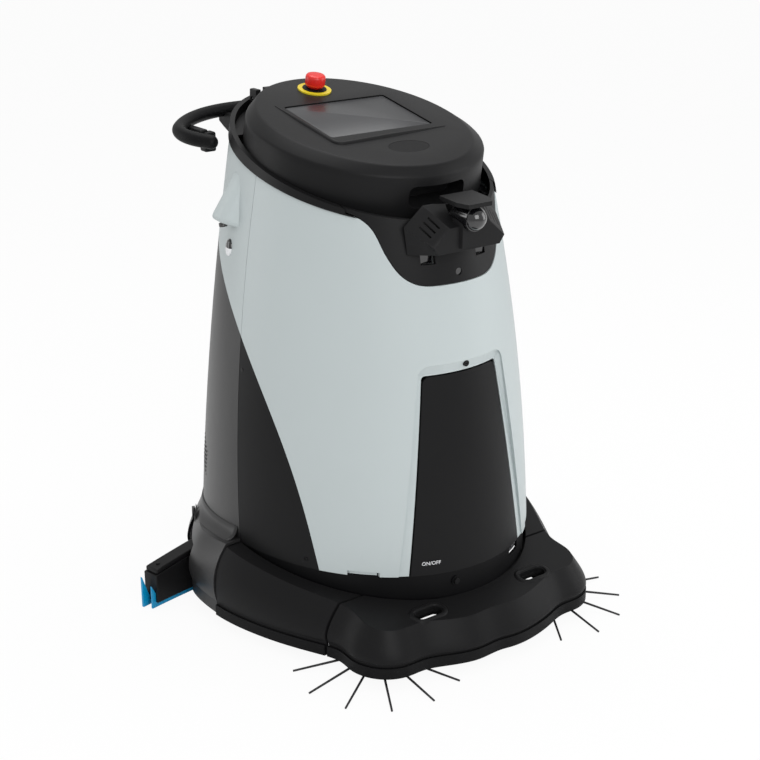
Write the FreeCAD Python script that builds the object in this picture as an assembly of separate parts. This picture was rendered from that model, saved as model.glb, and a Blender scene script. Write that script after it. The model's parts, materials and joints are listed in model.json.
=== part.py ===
import FreeCAD, Part
import math
import os

# Upright autonomous floor scrubber, millimetres.
# +Z up, front towards -Y, the machine's own left towards +X.
# The origin is on the floor, below the middle of the overall length.

V = FreeCAD.Vector
OUT = "parts"

# ------------------------------------------------------------------ driving dimensions
# Upright body: ellipses that shrink and lean back with height
BODY_BOTTOM = 167.0
BODY_RISE = 785.0            # height over which the section law runs
BODY_HALF_WIDTH = 317.0
BODY_HALF_DEPTH = 383.0
BODY_FRONT = -348.7          # front line at the bottom of the shell
WIDTH_LINEAR, WIDTH_SQUARE = 4.8, 88.8
DEPTH_LINEAR = 97.6
FRONT_LINEAR, FRONT_SQUARE = 72.7, 41.4
SHELL_WALL = 4.0
PANEL_GAP = 1.2              # visible joint between two panels
COVER_BOTTOM = 108.0         # the rear cover runs down behind the base flange
NOTCH_X, NOTCH_TOP = (184.0, 228.0), 176.0        # finger notch in the shell's lower edge
CREASE_Y, CREASE_LEAN = 25.0, 0.0376      # side parting at z = 500, and its lean
CREASE_REF_Z = 500.0

# Rim: the grey shell's upper edge and the black ring on it are tilted planes
EDGE_Z, EDGE_SLOPE = 884.0, 0.223
RIM_Z, RIM_SLOPE = 902.0, 0.262
RIM_PROUD = 3.0
RIM_WIDTH = 10.0

# Lid
LID_Y, LID_Z, LID_TILT = 23.0, 975.0, 11.6
LID_TOP_A, LID_TOP_B = 196.0, 236.5
LID_RIDGE_A, LID_RIDGE_B, LID_RIDGE_DROP, LID_RIDGE_SHIFT = 226.0, 244.0, 16.0, -8.0
LID_WALL = 4.0
LID_DRUM_DEPTH = 96.0
HINGE_R = 4.0
HINGE_Y, HINGE_Z = 296.0, 985.0
HINGE_X, HINGE_HALF = 60.0, 78.0
PIN_CLEAR = 0.05

# Screen and stop button, in the lid's own plane (x, up-slope)
SCREEN_W, SCREEN_L, SCREEN_T = 226.0, 157.0, 4.0
SCREEN_V = 34.0
LIP_SIDE, LIP_FRONT = 15.0, 8.0           # the raised lip's distance from the screen's edges
LIP_W, LIP_H = 4.0, 3.0
OVAL_A, OVAL_B, OVAL_V, OVAL_DEPTH = 44.0, 29.0, -147.0, 0.8
GRIP_HALF, GRIP_LOW, GRIP_HIGH, GRIP_CORNER = 62.0, -76.0, -38.0, 12.0
STOP_X, STOP_V = -2.0, 168.0
STOP_RING_R, STOP_RING_T = 34.0, 3.0
STOP_STEM_R, STOP_HEAD_R, STOP_HEAD_H = 10.0, 20.0, 24.0
STOP_TRAVEL = 4.0

# Service door in the front
DOOR_BOTTOM, DOOR_TOP = 166.0, 549.0
DOOR_HALF_BOTTOM, DOOR_HALF_TOP = 135.0, 86.0
RECESS_BOTTOM, RECESS_TOP = 3.0, 11.0     # depth of the door's recess at its foot and head
RECESS_CORNER = 26.0
DOOR_THICK = 4.0
DOOR_GAP = 3.0
DOOR_CORNER = 16.0
FRAME_RISE = 24.0
FRAME_SIDE_TOP, FRAME_SIDE_BOTTOM = 17.0, 22.0
DOOR_PIN_R, DOOR_PIN_INSET = 3.0, 14.0
DOOR_PIN_SINK = 1.5          # pivot pins behind the panel's inner face
PIVOT_ROOM = 18.0            # the neck is cut away this far round the lower pivot
LOCK_R, LOCK_RISE = 6.0, 17.0             # the lock sits on the recess's upper slope
LOCK_Z = DOOR_TOP + LOCK_RISE

# Panel screws on the flanks, as (y, z)
SCREWS = [(17.0, 525.0), (-159.0, 185.0)]
SCREW_R, SCREW_LENGTH = 4.0, 7.0

# Base skirt
SKIRT_BOTTOM, STRIP_TOP = 25.0, 52.0
# The skirt's shoulder and inner edge lie in tilted planes (height at y = 0, slope along y), and
# the inner edge's ring stands this far outside the neck: the rear flange runs in to the cover
SIDE_PLANES, SIDE_REACH = ((164.5, 0.15), (160.0, 0.10)), 7.0
REAR_PLANES, REAR_REACH = ((173.0, -0.12), (176.0, -0.12)), -20.0
SHOULDER_DROP, SHOULDER_INSET, CREST_INSET = 20.0, 12.0, 26.0
SKIRT_WALL = 5.0
BUMPER_Y = -251.0
BUMPER_SLOT_X, BUMPER_SLOT_Y = 132.0, -360.0
SLOT_HALF, SLOT_R = 18.0, 12.0
TUNNEL_Y, TUNNEL_CLEAR = (124.0, 262.0), 4.0
BUMPER_TRAVEL = 4.0
BUMPER_GAP = 5.0
NECK_INSET = 6.0
POWER_R, POWER_X, POWER_Z, POWER_DEPTH = 6.0, -48.0, 144.0, 8.0
POWER_ROOM = 1.5             # clearance round the button's shaft in the chassis plate
NECK_BOTTOM = 112.0

# Running gear
WHEEL_R, WHEEL_W, WHEEL_X, WHEEL_Y = 90.0, 34.0, 262.0, -20.0
WHEEL_TYRE, WHEEL_AXLE_R = 16.0, 10.0
CASTER_R, CASTER_W, CASTER_X, CASTER_Y, CASTER_TRAIL = 38.0, 26.0, 130.0, 320.0, 24.0
FRAME_Z, FRAME_T = 146.0, 8.0
ROLLER_R, ROLLER_L, ROLLER_Y = 50.0, 400.0, (-92.0, 22.0)
DECK_ROD_R, DECK_ROD_X, DECK_ROD_Y = 8.0, 150.0, -35.0
ARM_ROD_R, ARM_ROD_X, ARM_ROD_Y = 6.0, 60.0, 165.0
BRUSH_X, BRUSH_Y, BRUSH_REACH = 211.0, -308.0, 165.0
BUNDLES = 12
BRUSH_MOTOR_X, BRUSH_MOTOR_Y = 105.0, -285.0
SQUEEGEE_HALF, SQUEEGEE_END_Y, SQUEEGEE_MID_Y = 459.0, 152.0, 205.0
SQUEEGEE_TOP, SQUEEGEE_END_TOP, SQUEEGEE_LIFT = 104.0, 88.0, 20.0
SLOPE_START = 330.0          # the squeegee's top slopes down to its ends from here

# Handle
BAR_R, BAR_Y, BAR_Z, BAR_TILT = 14.0, 437.0, 941.0, 5.9
BAR_STRAIGHT, BAR_TIP = 40.0, 22.0
BAR_BOW_R, BAR_BOW_TURN = 234.0, 51.0
BAR_CURL_R, BAR_CURL_TURN = 80.0, 72.0
ARM_X, ARM_W = 62.0, 20.0


# ------------------------------------------------------------------ small helpers
def box(x0, x1, y0, y1, z0, z1):
    return Part.makeBox(x1 - x0, y1 - y0, z1 - z0, V(x0, y0, z0))


def cyl(r, h, at, axis):
    return Part.makeCylinder(r, h, V(*at), V(*axis))


def fuse(shapes):
    out = shapes[0]
    for s in shapes[1:]:
        out = out.fuse(s)
    return out.removeSplitter()


def mirrored(shape):
    return shape.mirror(V(0, 0, 0), V(1, 0, 0))


def polygon(points):
    return Part.makePolygon([V(*p) for p in points] + [V(*points[0])])


def prism(points, direction):
    return Part.Face(polygon(points)).extrude(V(*direction))


def save(name, shape):
    shape.exportStep(os.path.join(OUT, name + ".step"))


# ------------------------------------------------------------------ body sections
def section(z):
    """Half width, half depth and centre of the body's ellipse at height z."""
    t = (z - BODY_BOTTOM) / BODY_RISE
    a = BODY_HALF_WIDTH - WIDTH_LINEAR * t - WIDTH_SQUARE * t * t
    b = BODY_HALF_DEPTH - DEPTH_LINEAR * t
    front = BODY_FRONT + FRONT_LINEAR * t + FRONT_SQUARE * t * t
    return a, b, front + b


def ellipse(a, b, yc, z):
    curve = Part.Ellipse(V(0, yc + b, z), V(a, yc, z), V(0, yc, z))
    return Part.Wire([curve.toShape()])


def body_ring(z, inset):
    """The body's outline at z, moved inwards by a number or by a function of z."""
    a, b, yc = section(z)
    depth = inset(z) if callable(inset) else inset
    return ellipse(a - depth, b - depth, yc, z)


def body_solid(inset, low, high, steps=6):
    levels = [low + (high - low) * i / (steps - 1) for i in range(steps)]
    return Part.makeLoft([body_ring(z, inset) for z in levels], True, False)


def front_y(x, z, inset=0.0):
    a, b, yc = section(z)
    a, b = a - inset, b - inset
    return yc - b * math.sqrt(max(0.0, 1.0 - (x / a) ** 2))


def half_width(y, z, inset=0.0):
    a, b, yc = section(z)
    a, b = a - inset, b - inset
    return a * math.sqrt(max(0.0, 1.0 - ((y - yc) / b) ** 2))


def below_plane(z0, slope, shift=0.0):
    """Everything below the plane z = z0 + slope * y + shift."""
    far, deep = 700.0, -50.0
    low, high = z0 + shift - slope * far, z0 + shift + slope * far
    return prism([(-far, -far, deep), (-far, far, deep), (-far, far, high), (-far, -far, low)], (2 * far, 0, 0))


def crease_y(z):
    return CREASE_Y + (z - CREASE_REF_Z) * CREASE_LEAN


def before_crease(shift):
    far, low, high = 700.0, 0.0, 1100.0
    return prism([(-far, -far, low), (-far, crease_y(low) + shift, low), (-far, crease_y(high) + shift, high),
                  (-far, -far, high)], (2 * far, 0, 0))


def above_seam(shift):
    """Everything above the diagonal colour joint seen from the side."""
    pts = [(-190, 140), (-171, 221), (-149, 296), (-101, 409), (-31, 518), (88, 646), (225, 742), (330, 780),
           (460, 795)]
    curve = Part.BSplineCurve()
    curve.interpolate([V(-700, y, z + shift) for y, z in pts])
    first, last, top = pts[0], pts[-1], 1100.0
    a, b = V(-700, first[0], first[1] + shift), V(-700, last[0], last[1] + shift)
    corners = [b, V(-700, last[0], top), V(-700, -700, top), V(-700, -700, first[1] + shift), a]
    edges = [curve.toShape()] + [Part.makeLine(corners[i], corners[i + 1]) for i in range(4)]
    return Part.Face(Part.Wire(edges)).extrude(V(1400, 0, 0))


# ------------------------------------------------------------------ base skirt outline
OUTLINE = [(0, -433), (66, -433), (132, -415), (175, -402), (217, -401), (250, -388), (274, -360), (283, -325),
           (281, -290), (300, -235), (336, -157), (357, -96), (375, -9), (377, 55), (369, 119), (352, 162),
           (330, 202), (302, 246), (262, 305), (196, 372), (106, 426), (0, 444)]


def outline_curve():
    right = [V(x, y, 0) for x, y in OUTLINE]
    left = [V(-x, y, 0) for x, y in reversed(OUTLINE[1:-1])]
    curve = Part.BSplineCurve()
    curve.interpolate(right + left, PeriodicFlag=True)
    return curve, right + left


def skirt_ring(inset, height):
    """The outline moved inwards by inset; height gives z at each y."""
    curve, pts = outline_curve()
    moved = []
    for p in pts:
        tangent = curve.tangent(curve.parameter(p))[0]
        normal = V(-tangent.y, tangent.x, 0).normalize()
        q = p + normal * inset
        moved.append(V(q.x, q.y, height(q.y)))
    ring = Part.BSplineCurve()
    ring.interpolate(moved, PeriodicFlag=True)
    return Part.Wire([ring.toShape()])


def neck_points(grow, height):
    """Points on the neck's ellipse, one for each outline point, at the same bearing."""
    a, b, yc = section(BODY_BOTTOM)
    a, b = a - NECK_INSET + grow, b - NECK_INSET + grow
    pts = []
    for p in outline_curve()[1]:
        dx, dy = p.x, p.y - yc
        k = 1.0 / math.sqrt((dx / a) ** 2 + (dy / b) ** 2)
        pts.append(V(dx * k, yc + dy * k, height(yc + dy * k)))
    ring = Part.BSplineCurve()
    ring.interpolate(pts, PeriodicFlag=True)
    return Part.Wire([ring.toShape()])


def heights(plane, drop):
    """Height at y of a tilted plane, lowered by drop."""
    return lambda y: plane[0] + plane[1] * y - drop


def flat(z):
    return lambda y: z


def skirt_solid(inset, drop, low, planes, reach):
    crest, edge = planes
    side = [skirt_ring(inset, flat(low)), skirt_ring(inset, flat(STRIP_TOP)),
            skirt_ring(inset + SHOULDER_INSET, heights(crest, drop + SHOULDER_DROP)),
            skirt_ring(inset + CREST_INSET, heights(crest, drop))]
    lower = Part.makeLoft(side[:2], True, True)
    upper = Part.makeLoft(side[1:], True, False)
    cap = Part.makeLoft([side[3], neck_points(reach, heights(edge, drop))], True, True)
    return lower.fuse(upper).fuse(cap)


def skirt_shell(planes, reach):
    outer = skirt_solid(0.0, 0.0, SKIRT_BOTTOM, planes, reach)
    return outer.cut(skirt_solid(SKIRT_WALL, SKIRT_WALL, SKIRT_BOTTOM - 10, planes, reach))


def skirt_hole():
    """The straight opening that leaves a gap between the skirt and the neck."""
    a, b, yc = section(BODY_BOTTOM)
    grow = BUMPER_GAP + 1 - NECK_INSET
    return Part.makeLoft([ellipse(a + grow, b + grow, yc, z) for z in (0.0, 400.0)], True, True)


# ------------------------------------------------------------------ upper shells
def notch_prism(inset):
    """The U-shaped window at the front of the rim that the sensor insert fills."""
    right = [(178, 852), (142, 812), (136, 790), (127, 766), (112, 741), (88, 724), (45, 718)]
    pts = [V(x - inset, -600, z + inset) for x, z in right]
    left = [V(-p.x, p.y, p.z) for p in reversed(pts)]
    curve = Part.BSplineCurve()
    curve.interpolate(pts + left)
    a, b = pts[0], left[-1]
    lid = [V(b.x, -600, 960), V(a.x, -600, 960)]
    edges = [curve.toShape(), Part.makeLine(b, lid[0]), Part.makeLine(lid[0], lid[1]), Part.makeLine(lid[1], a)]
    return Part.Face(Part.Wire(edges)).extrude(V(0, 560, 0))


def trapezoid(grow_side_top, grow_side_bottom, grow_top, y, corner=0.0):
    """Door outline in the plane y, grown by the three margins, open past the shell's bottom edge."""
    low = BODY_BOTTOM - 30
    slope = (DOOR_HALF_BOTTOM - DOOR_HALF_TOP) / (DOOR_TOP - DOOR_BOTTOM)
    half_low = DOOR_HALF_BOTTOM + grow_side_bottom + slope * (DOOR_BOTTOM - low)
    half_top = DOOR_HALF_TOP + grow_side_top - slope * grow_top
    top = DOOR_TOP + grow_top
    pts = [V(-half_low, y, low), V(half_low, y, low), V(half_top, y, top), V(-half_top, y, top)]
    wire = Part.makePolygon(pts + [pts[0]])
    face = Part.Face(wire)
    if corner == 0.0:
        return face
    solid = face.extrude(V(0, 10, 0))
    uprights = [e for e in solid.Edges if abs(e.BoundBox.YLength - 10) < 0.1 and e.BoundBox.ZMin > DOOR_TOP - 5]
    rounded = solid.makeFillet(corner, uprights)
    return [f for f in rounded.Faces if abs(f.CenterOfMass.y - y) < 0.01][0]


def door_prism(grow, corner):
    return trapezoid(grow, grow, grow, -500, corner).extrude(V(0, 320, 0))


def recess_depth(extra=0.0):
    """Depth of the recess's floor below the body's surface, as a function of height."""
    slope = (RECESS_TOP - RECESS_BOTTOM) / (DOOR_TOP - DOOR_BOTTOM)
    return lambda z: RECESS_BOTTOM + slope * (z - DOOR_BOTTOM) + extra


def slope_cutter(pairs, back):
    """Solid behind a ruled slope; pairs holds (inner, outer) points, back points away from the recess."""
    rings = []
    for inner, outer in pairs:
        along = (outer - inner).normalize()
        a, b = inner - along * 60, outer + along * 320
        rings.append([a, b, b + back, a + back])
    return Part.makeLoft([polygon([(q.x, q.y, q.z) for q in ring]) for ring in rings], True, True)


def side_slope(shift):
    """Left side of the recess: from the door's edge out to the body's surface."""
    slope = (DOOR_HALF_BOTTOM - DOOR_HALF_TOP) / (DOOR_TOP - DOOR_BOTTOM)
    pairs = []
    for z in (BODY_BOTTOM - 30, DOOR_TOP + 3 * FRAME_RISE):
        k = (z - DOOR_BOTTOM) / (DOOR_TOP - DOOR_BOTTOM)
        inner = DOOR_HALF_BOTTOM - slope * (z - DOOR_BOTTOM) + DOOR_GAP
        outer = inner + FRAME_SIDE_BOTTOM + (FRAME_SIDE_TOP - FRAME_SIDE_BOTTOM) * k
        foot = V(inner, front_y(inner, z, recess_depth()(z)) + shift, z)
        pairs.append((foot, V(outer, front_y(outer, z) + shift, z)))
    return slope_cutter(pairs, V(0, 250, 0))


def top_slope(shift):
    """Top of the recess, following the body's curve."""
    low, high = DOOR_TOP + DOOR_GAP + shift, DOOR_TOP + FRAME_RISE + shift
    pairs = []
    for i in range(-3, 4):
        x = 50.0 * i
        pairs.append((V(x, front_y(x, low, recess_depth()(low)), low), V(x, front_y(x, high), high)))
    return slope_cutter(pairs, V(0, 0, 250))


def recess_space(shift, extra):
    """The hollow around the door: inside the three slopes and in front of the sunk body."""
    outline = trapezoid(FRAME_SIDE_TOP + shift, FRAME_SIDE_BOTTOM + shift, FRAME_RISE + shift, -470,
                        RECESS_CORNER + shift)
    space = outline.extrude(V(0, 320, 0))
    slope = side_slope(shift)
    space = space.cut(slope).cut(mirrored(slope)).cut(top_slope(shift))
    return space.cut(body_solid(recess_depth(extra), BODY_BOTTOM - 40, 700))


def shells():
    outer = body_solid(0.0, BODY_BOTTOM, 1000)
    skin = outer.cut(body_solid(SHELL_WALL, BODY_BOTTOM - 10, 1010, 6))
    skin = skin.common(below_plane(EDGE_Z, EDGE_SLOPE))
    front = skin.common(before_crease(-PANEL_GAP / 2))
    for side in (-1, 1):
        x0, x1 = sorted((side * NOTCH_X[0], side * NOTCH_X[1]))
        front = front.cut(box(x0, x1, -500, 0, 0, NOTCH_TOP))
    rear = skin.cut(before_crease(PANEL_GAP / 2))
    long_skin = body_solid(0.0, COVER_BOTTOM, 1000, 7).cut(body_solid(SHELL_WALL, COVER_BOTTOM - 10, 1010, 7))
    cover = long_skin.common(below_plane(EDGE_Z, EDGE_SLOPE)).cut(before_crease(PANEL_GAP / 2))
    upper, lower = above_seam(PANEL_GAP / 2), above_seam(-PANEL_GAP / 2)
    recess = recess_space(0.0, 0.0)
    opening = door_prism(DOOR_GAP, DOOR_CORNER / 2)
    frame = recess_space(SHELL_WALL, SHELL_WALL).common(body_solid(0.5, BODY_BOTTOM, 700))
    frame = frame.cut(recess).cut(opening)
    grey = front.common(upper).cut(recess).cut(opening).fuse(frame).cut(notch_prism(0.0))
    grey = grey.cut(lock_core(LOCK_R + PIN_CLEAR, -20, 60))
    sides = front.cut(lower)
    for hole in screw_bodies(SCREW_R + PIN_CLEAR, 3 * SCREW_LENGTH, -2 * SCREW_LENGTH):
        sides = sides.cut(hole)
    save("front_shell", grey)
    save("side_panels", sides)
    save("rear_cowl", rear.common(upper))
    save("rear_cover", cover.cut(lower).cut(squeegee_tunnel()))


def rim():
    """Black ring on top of the shell; the sensor insert interrupts it at the front."""
    band = body_solid(-RIM_PROUD, 780, 1000, 5).cut(body_solid(RIM_WIDTH - RIM_PROUD, 770, 1010, 5))
    band = band.common(below_plane(RIM_Z, RIM_SLOPE)).cut(below_plane(EDGE_Z, EDGE_SLOPE, PANEL_GAP))
    inner = body_solid(SHELL_WALL + 0.5, 770, 1000, 5).cut(body_solid(RIM_WIDTH - RIM_PROUD, 770, 1010, 5))
    inner = inner.common(below_plane(RIM_Z, RIM_SLOPE, -6)).cut(below_plane(EDGE_Z, EDGE_SLOPE, -24))
    ring = band.fuse(inner).cut(notch_prism(-0.6))
    save("rim_ring", ring)


def sensor_insert():
    """Black insert that fills the U-shaped window, with the recesses for its cameras."""
    insert = body_solid(1.0, 700, 1000, 5).cut(body_solid(7.0, 690, 1010, 5))
    insert = insert.common(notch_prism(PANEL_GAP)).common(below_plane(RIM_Z, RIM_SLOPE))
    for side in (-1, 1):
        x = side * 62.0
        y = front_y(x, 768)
        insert = insert.cut(box(x - 14, x + 14, y - 20, y + 30, 758, 778))
    y = front_y(0, 735)
    insert = insert.cut(cyl(7.0, 60, (0, y - 20, 738), (0, 1, 0)))
    save("sensor_insert", insert)
    cameras = []
    for x in (-62.0, 62.0):
        y = front_y(x, 768)
        cameras.append(box(x - 13.5, x + 13.5, y + 8, y + 26, 758.5, 777.5))
    save("depth_cameras", Part.makeCompound(cameras))


def ruled(sections):
    """Straight-sided solid between flat polygons with equal numbers of corners."""
    return Part.makeLoft([polygon(s) for s in sections], True, True)


def sensor_pod():
    """Faceted head that carries the range sensor, with a slotted wing on each side."""
    back, front = -246.0, -302.0
    ring_back = [(-100, 779), (-108, 832), (-66, 866), (66, 866), (108, 832), (100, 779)]
    ring_front = [(-72, 786), (-83, 801), (-47, 832), (47, 832), (83, 801), (72, 786)]
    head = ruled([[(x, back, z) for x, z in ring_back], [(x, front, z) for x, z in ring_front]])
    brow_back = [(-30, 790), (-30, 846), (30, 846), (30, 790)]
    brow_front = [(-22, 792), (-22, 838), (22, 838), (22, 792)]
    nose = ruled([[(x, front + 14, z) for x, z in brow_back], [(x, front - 6, z) for x, z in brow_front]])
    pod = head.fuse(nose)
    pod = pod.cut(cyl(24.0, 70, LENS_AT, (0, 1, 0.0)))
    wing_a, wing_b = V(-84, back - 17, 845), V(-64, front + 2, 815.5)
    along = (wing_b - wing_a).normalize()
    for i in (-1, 0, 1):
        shift = V(10.0 * i, 0, 7.0 * i)
        start = wing_a + shift + along * 6
        for s in (1, -1):
            slot = Part.makeBox(3.0, 30.0, 16.0, V(-1.5, 0, -8.0))
            slot.Placement = FreeCAD.Placement(start, FreeCAD.Rotation(V(0, 1, 0), along))
            pod = pod.cut(slot if s == 1 else mirrored(slot))
    pod = pod.cut(body_solid(0.5, 700, 900, 4))
    x, y, z = LENS_AT
    dome = cyl(23.5, 46, (x, y + 4, z), (0, 1, 0)).fuse(Part.makeSphere(22.0, V(x, y + 8, z)))
    save("lidar_dome", dome)
    plan = [(-27, -8), (27, -8), (38, 14), (38, 62), (-38, 62), (-38, 14)]
    hood_low = [(px, y + py, z + 24 + HOOD_SLOPE * py) for px, py in plan]
    hood_high = [(px, py, pz + 8) for px, py, pz in hood_low]
    save("sensor_pod", pod.fuse(ruled([hood_low, hood_high])).removeSplitter())


LENS_AT, HOOD_SLOPE = (0.0, -322.0, 846.0), 0.08


# ------------------------------------------------------------------ lid
def lid_place(shape):
    """Moves a shape from the lid's own plane to its place on the machine."""
    shape.Placement = FreeCAD.Placement(V(0, LID_Y, LID_Z), FreeCAD.Rotation(V(1, 0, 0), LID_TILT))
    return shape


def lid_ellipse(a, b, v, w):
    long_end, short_end = (V(0, v + b, w), V(a, v, w)) if b > a else (V(a, v, w), V(0, v + b, w))
    return Part.Wire([Part.Ellipse(long_end, short_end, V(0, v, w)).toShape()])


def lid_body(inset, low):
    rings = [lid_ellipse(LID_RIDGE_A - inset - 2, LID_RIDGE_B - inset + 2, LID_RIDGE_SHIFT, -low),
             lid_ellipse(LID_RIDGE_A - inset, LID_RIDGE_B - inset, LID_RIDGE_SHIFT, -LID_RIDGE_DROP - inset),
             lid_ellipse(LID_TOP_A - inset, LID_TOP_B - inset, 0, -inset)]
    return Part.makeLoft(rings, True, True)


def grip_block(grow, front, back):
    """Rounded bar that leaves the hand hole in the lid's front, grown by a wall."""
    low, high = GRIP_LOW - grow, GRIP_HIGH + grow
    block = box(-GRIP_HALF - grow, GRIP_HALF + grow, front, back, low, high)
    along = [e for e in block.Edges if abs(e.BoundBox.YLength - (back - front)) < 0.1]
    return block.makeFillet(GRIP_CORNER + grow, along)


def lid():
    shell = lid_body(0.0, LID_DRUM_DEPTH).cut(lid_body(LID_WALL, LID_DRUM_DEPTH + 10))
    w, l = SCREEN_W / 2, SCREEN_L / 2
    pocket = box(-w - 1, w + 1, SCREEN_V - l - 1, SCREEN_V + l + 1, -3.0, 10)
    shell = shell.cut(pocket)
    shell = shell.cut(cyl(STOP_STEM_R + 2, 20, (STOP_X, STOP_V, -10), (0, 0, 1)))
    pocket_wall = grip_block(LID_WALL, -240, -196).cut(grip_block(0.0, -260, -200))
    pocket_wall = pocket_wall.common(lid_body(0.5, LID_DRUM_DEPTH))
    shell = shell.cut(grip_block(0.0, -300, -200)).fuse(pocket_wall)
    shell = shell.cut(Part.Face(lid_ellipse(OVAL_A, OVAL_B, OVAL_V, -OVAL_DEPTH)).extrude(V(0, 0, 10)))
    foot = SCREEN_V - l - LIP_FRONT
    lip = [box(-w - LIP_SIDE - LIP_W, -w - LIP_SIDE, foot - LIP_W, SCREEN_V + l + LIP_SIDE, -1, LIP_H),
           box(-w - LIP_SIDE, w + LIP_SIDE, foot - LIP_W, foot, -1, LIP_H)]
    shell = shell.fuse(fuse(lip))
    save("lid_cover", lid_place(shell))
    save("touchscreen", lid_place(box(-w, w, SCREEN_V - l, SCREEN_V + l, -3.0, 0.6 - 2.0)))
    ring = cyl(STOP_RING_R, STOP_RING_T, (STOP_X, STOP_V, 0), (0, 0, 1))
    ring = ring.cut(cyl(STOP_STEM_R + 2, 20, (STOP_X, STOP_V, -10), (0, 0, 1)))
    save("stop_ring", lid_place(ring))
    guide = cyl(STOP_STEM_R + 6, 30, (STOP_X, STOP_V, -LID_WALL - 30), (0, 0, 1))
    guide = guide.cut(cyl(STOP_STEM_R + 0.5, 60, (STOP_X, STOP_V, -50), (0, 0, 1)))
    save("stop_guide", lid_place(guide))
    head_low = STOP_RING_T + STOP_TRAVEL + 3
    stem = cyl(STOP_STEM_R, head_low + 26, (STOP_X, STOP_V, -26), (0, 0, 1))
    head = Part.makeCone(STOP_HEAD_R - 3, STOP_HEAD_R, STOP_HEAD_H - 8, V(STOP_X, STOP_V, head_low), V(0, 0, 1))
    cap = cyl(STOP_HEAD_R, 8, (STOP_X, STOP_V, head_low + STOP_HEAD_H - 8), (0, 0, 1))
    cap = cap.makeFillet(4.0, [cap.Edges[0]])
    save("stop_button", lid_place(stem.fuse(head).fuse(cap).removeSplitter()))
    pieces = [cyl(HINGE_R, 2 * HINGE_HALF, (-HINGE_HALF, HINGE_Y, HINGE_Z), (1, 0, 0))]
    for x in (-HINGE_X, HINGE_X):
        pieces.append(box(x - 9, x + 9, 228, HINGE_Y, HINGE_Z - 8, HINGE_Z + 6))
        pieces.append(cyl(HINGE_R + 5, 18, (x - 9, HINGE_Y, HINGE_Z), (1, 0, 0)))
    save("lid_hinge", fuse(pieces).cut(lid_place(lid_body(0.0, LID_DRUM_DEPTH))))


def door_axis():
    """Foot and head of the door's pivot line, behind its left edge, and its direction."""
    slope = (DOOR_HALF_BOTTOM - DOOR_HALF_TOP) / (DOOR_TOP - DOOR_BOTTOM)
    ends = []
    for z in (DOOR_BOTTOM, DOOR_TOP):
        x = DOOR_HALF_BOTTOM - slope * (z - DOOR_BOTTOM) - DOOR_PIN_INSET
        ends.append(V(x, front_y(x, z, recess_depth(DOOR_THICK)(z)) + DOOR_PIN_R + DOOR_PIN_SINK, z))
    return ends[0], ends[1], (ends[1] - ends[0]).normalize()


def service_door():
    """Curved door panel on two pivot pins behind its left edge, and the brackets they turn in."""
    skin = body_solid(recess_depth(), BODY_BOTTOM - 20, 700)
    skin = skin.cut(body_solid(recess_depth(DOOR_THICK), BODY_BOTTOM - 30, 710))
    panel = skin.common(door_prism(0.0, DOOR_CORNER)).common(box(-300, 300, -500, -100, DOOR_BOTTOM, 600))
    foot, head, along = door_axis()
    reach, boss, plate, gap = 11.0, 22.0, 6.0, 4.0
    pieces, brackets = [panel], []
    for end, inward in ((foot, along), (head, along * -1)):
        start = end - inward * reach
        pieces.append(Part.makeCylinder(DOOR_PIN_R, reach + boss + 10, start, inward))
        pieces.append(Part.makeCylinder(DOOR_PIN_R + 3, boss, end + inward * 10, inward))
        disc = Part.makeCylinder(DOOR_PIN_R + 7, plate, end - inward * (plate + gap), inward)
        arm = Part.makeCylinder(3.0, 60.0, end - inward * (plate / 2 + gap), V(0, 1, 0))
        hole = Part.makeCylinder(DOOR_PIN_R + PIN_CLEAR, 60.0, end - inward * 30, inward)
        behind = body_solid(recess_depth(SHELL_WALL + 1), 100, 700)
        brackets.append(disc.fuse(arm).common(behind).cut(hole))
    save("service_door", fuse(pieces))
    save("door_brackets", Part.makeCompound(brackets))


def lock_core(r, start, length):
    y = front_y(0, LOCK_Z)
    return cyl(r, length, (0, y + start, LOCK_Z), (0, 1, 0))


def door_lock():
    y = front_y(0, LOCK_Z)
    core = lock_core(LOCK_R, 0.5, 20).cut(box(-4, 4, y, y + 3, LOCK_Z - 1, LOCK_Z + 1))
    cam = box(-4, 4, y + 17, y + 20, LOCK_Z - 4, LOCK_Z + 18)
    save("door_lock", core.fuse(cam))


# ------------------------------------------------------------------ neck, skirt, bumper
def neck():
    a, b, yc = section(BODY_BOTTOM)
    rings = [ellipse(a - NECK_INSET, b - NECK_INSET, yc, z) for z in (NECK_BOTTOM, BODY_BOTTOM - 1)]
    inner = [ellipse(a - NECK_INSET - 5, b - NECK_INSET - 5, yc, z) for z in (NECK_BOTTOM - 5, BODY_BOTTOM + 5)]
    ring = Part.makeLoft(rings, True, True).cut(Part.makeLoft(inner, True, True))
    y = front_y(POWER_X, BODY_BOTTOM, NECK_INSET)
    collar = cyl(POWER_R + 4, 6, (POWER_X, y - 2, POWER_Z), (0, 1, 0))
    hole = cyl(POWER_R + PIN_CLEAR, 60, (POWER_X, y - 20, POWER_Z), (0, 1, 0))
    foot = door_axis()[0]
    relief = box(foot.x - PIVOT_ROOM, foot.x + PIVOT_ROOM, foot.y - 60, foot.y + PIVOT_ROOM, BODY_BOTTOM - 24, 200)
    ring = ring.fuse(collar).cut(hole).cut(relief)
    save("neck_ring", ring.cut(squeegee_tunnel()))
    button = cyl(POWER_R, 6 + POWER_DEPTH, (POWER_X, y - 6, POWER_Z), (0, 1, 0))
    save("power_button", button)


def oval(x, y, half, r, low, high):
    """Upright prism with round ends, half the straight length each side of x."""
    ends = [cyl(r, high - low, (x + s * half, y, low), (0, 0, 1)) for s in (-1, 1)]
    return fuse([box(x - half, x + half, y - r, y + r, low, high)] + ends)


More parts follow.
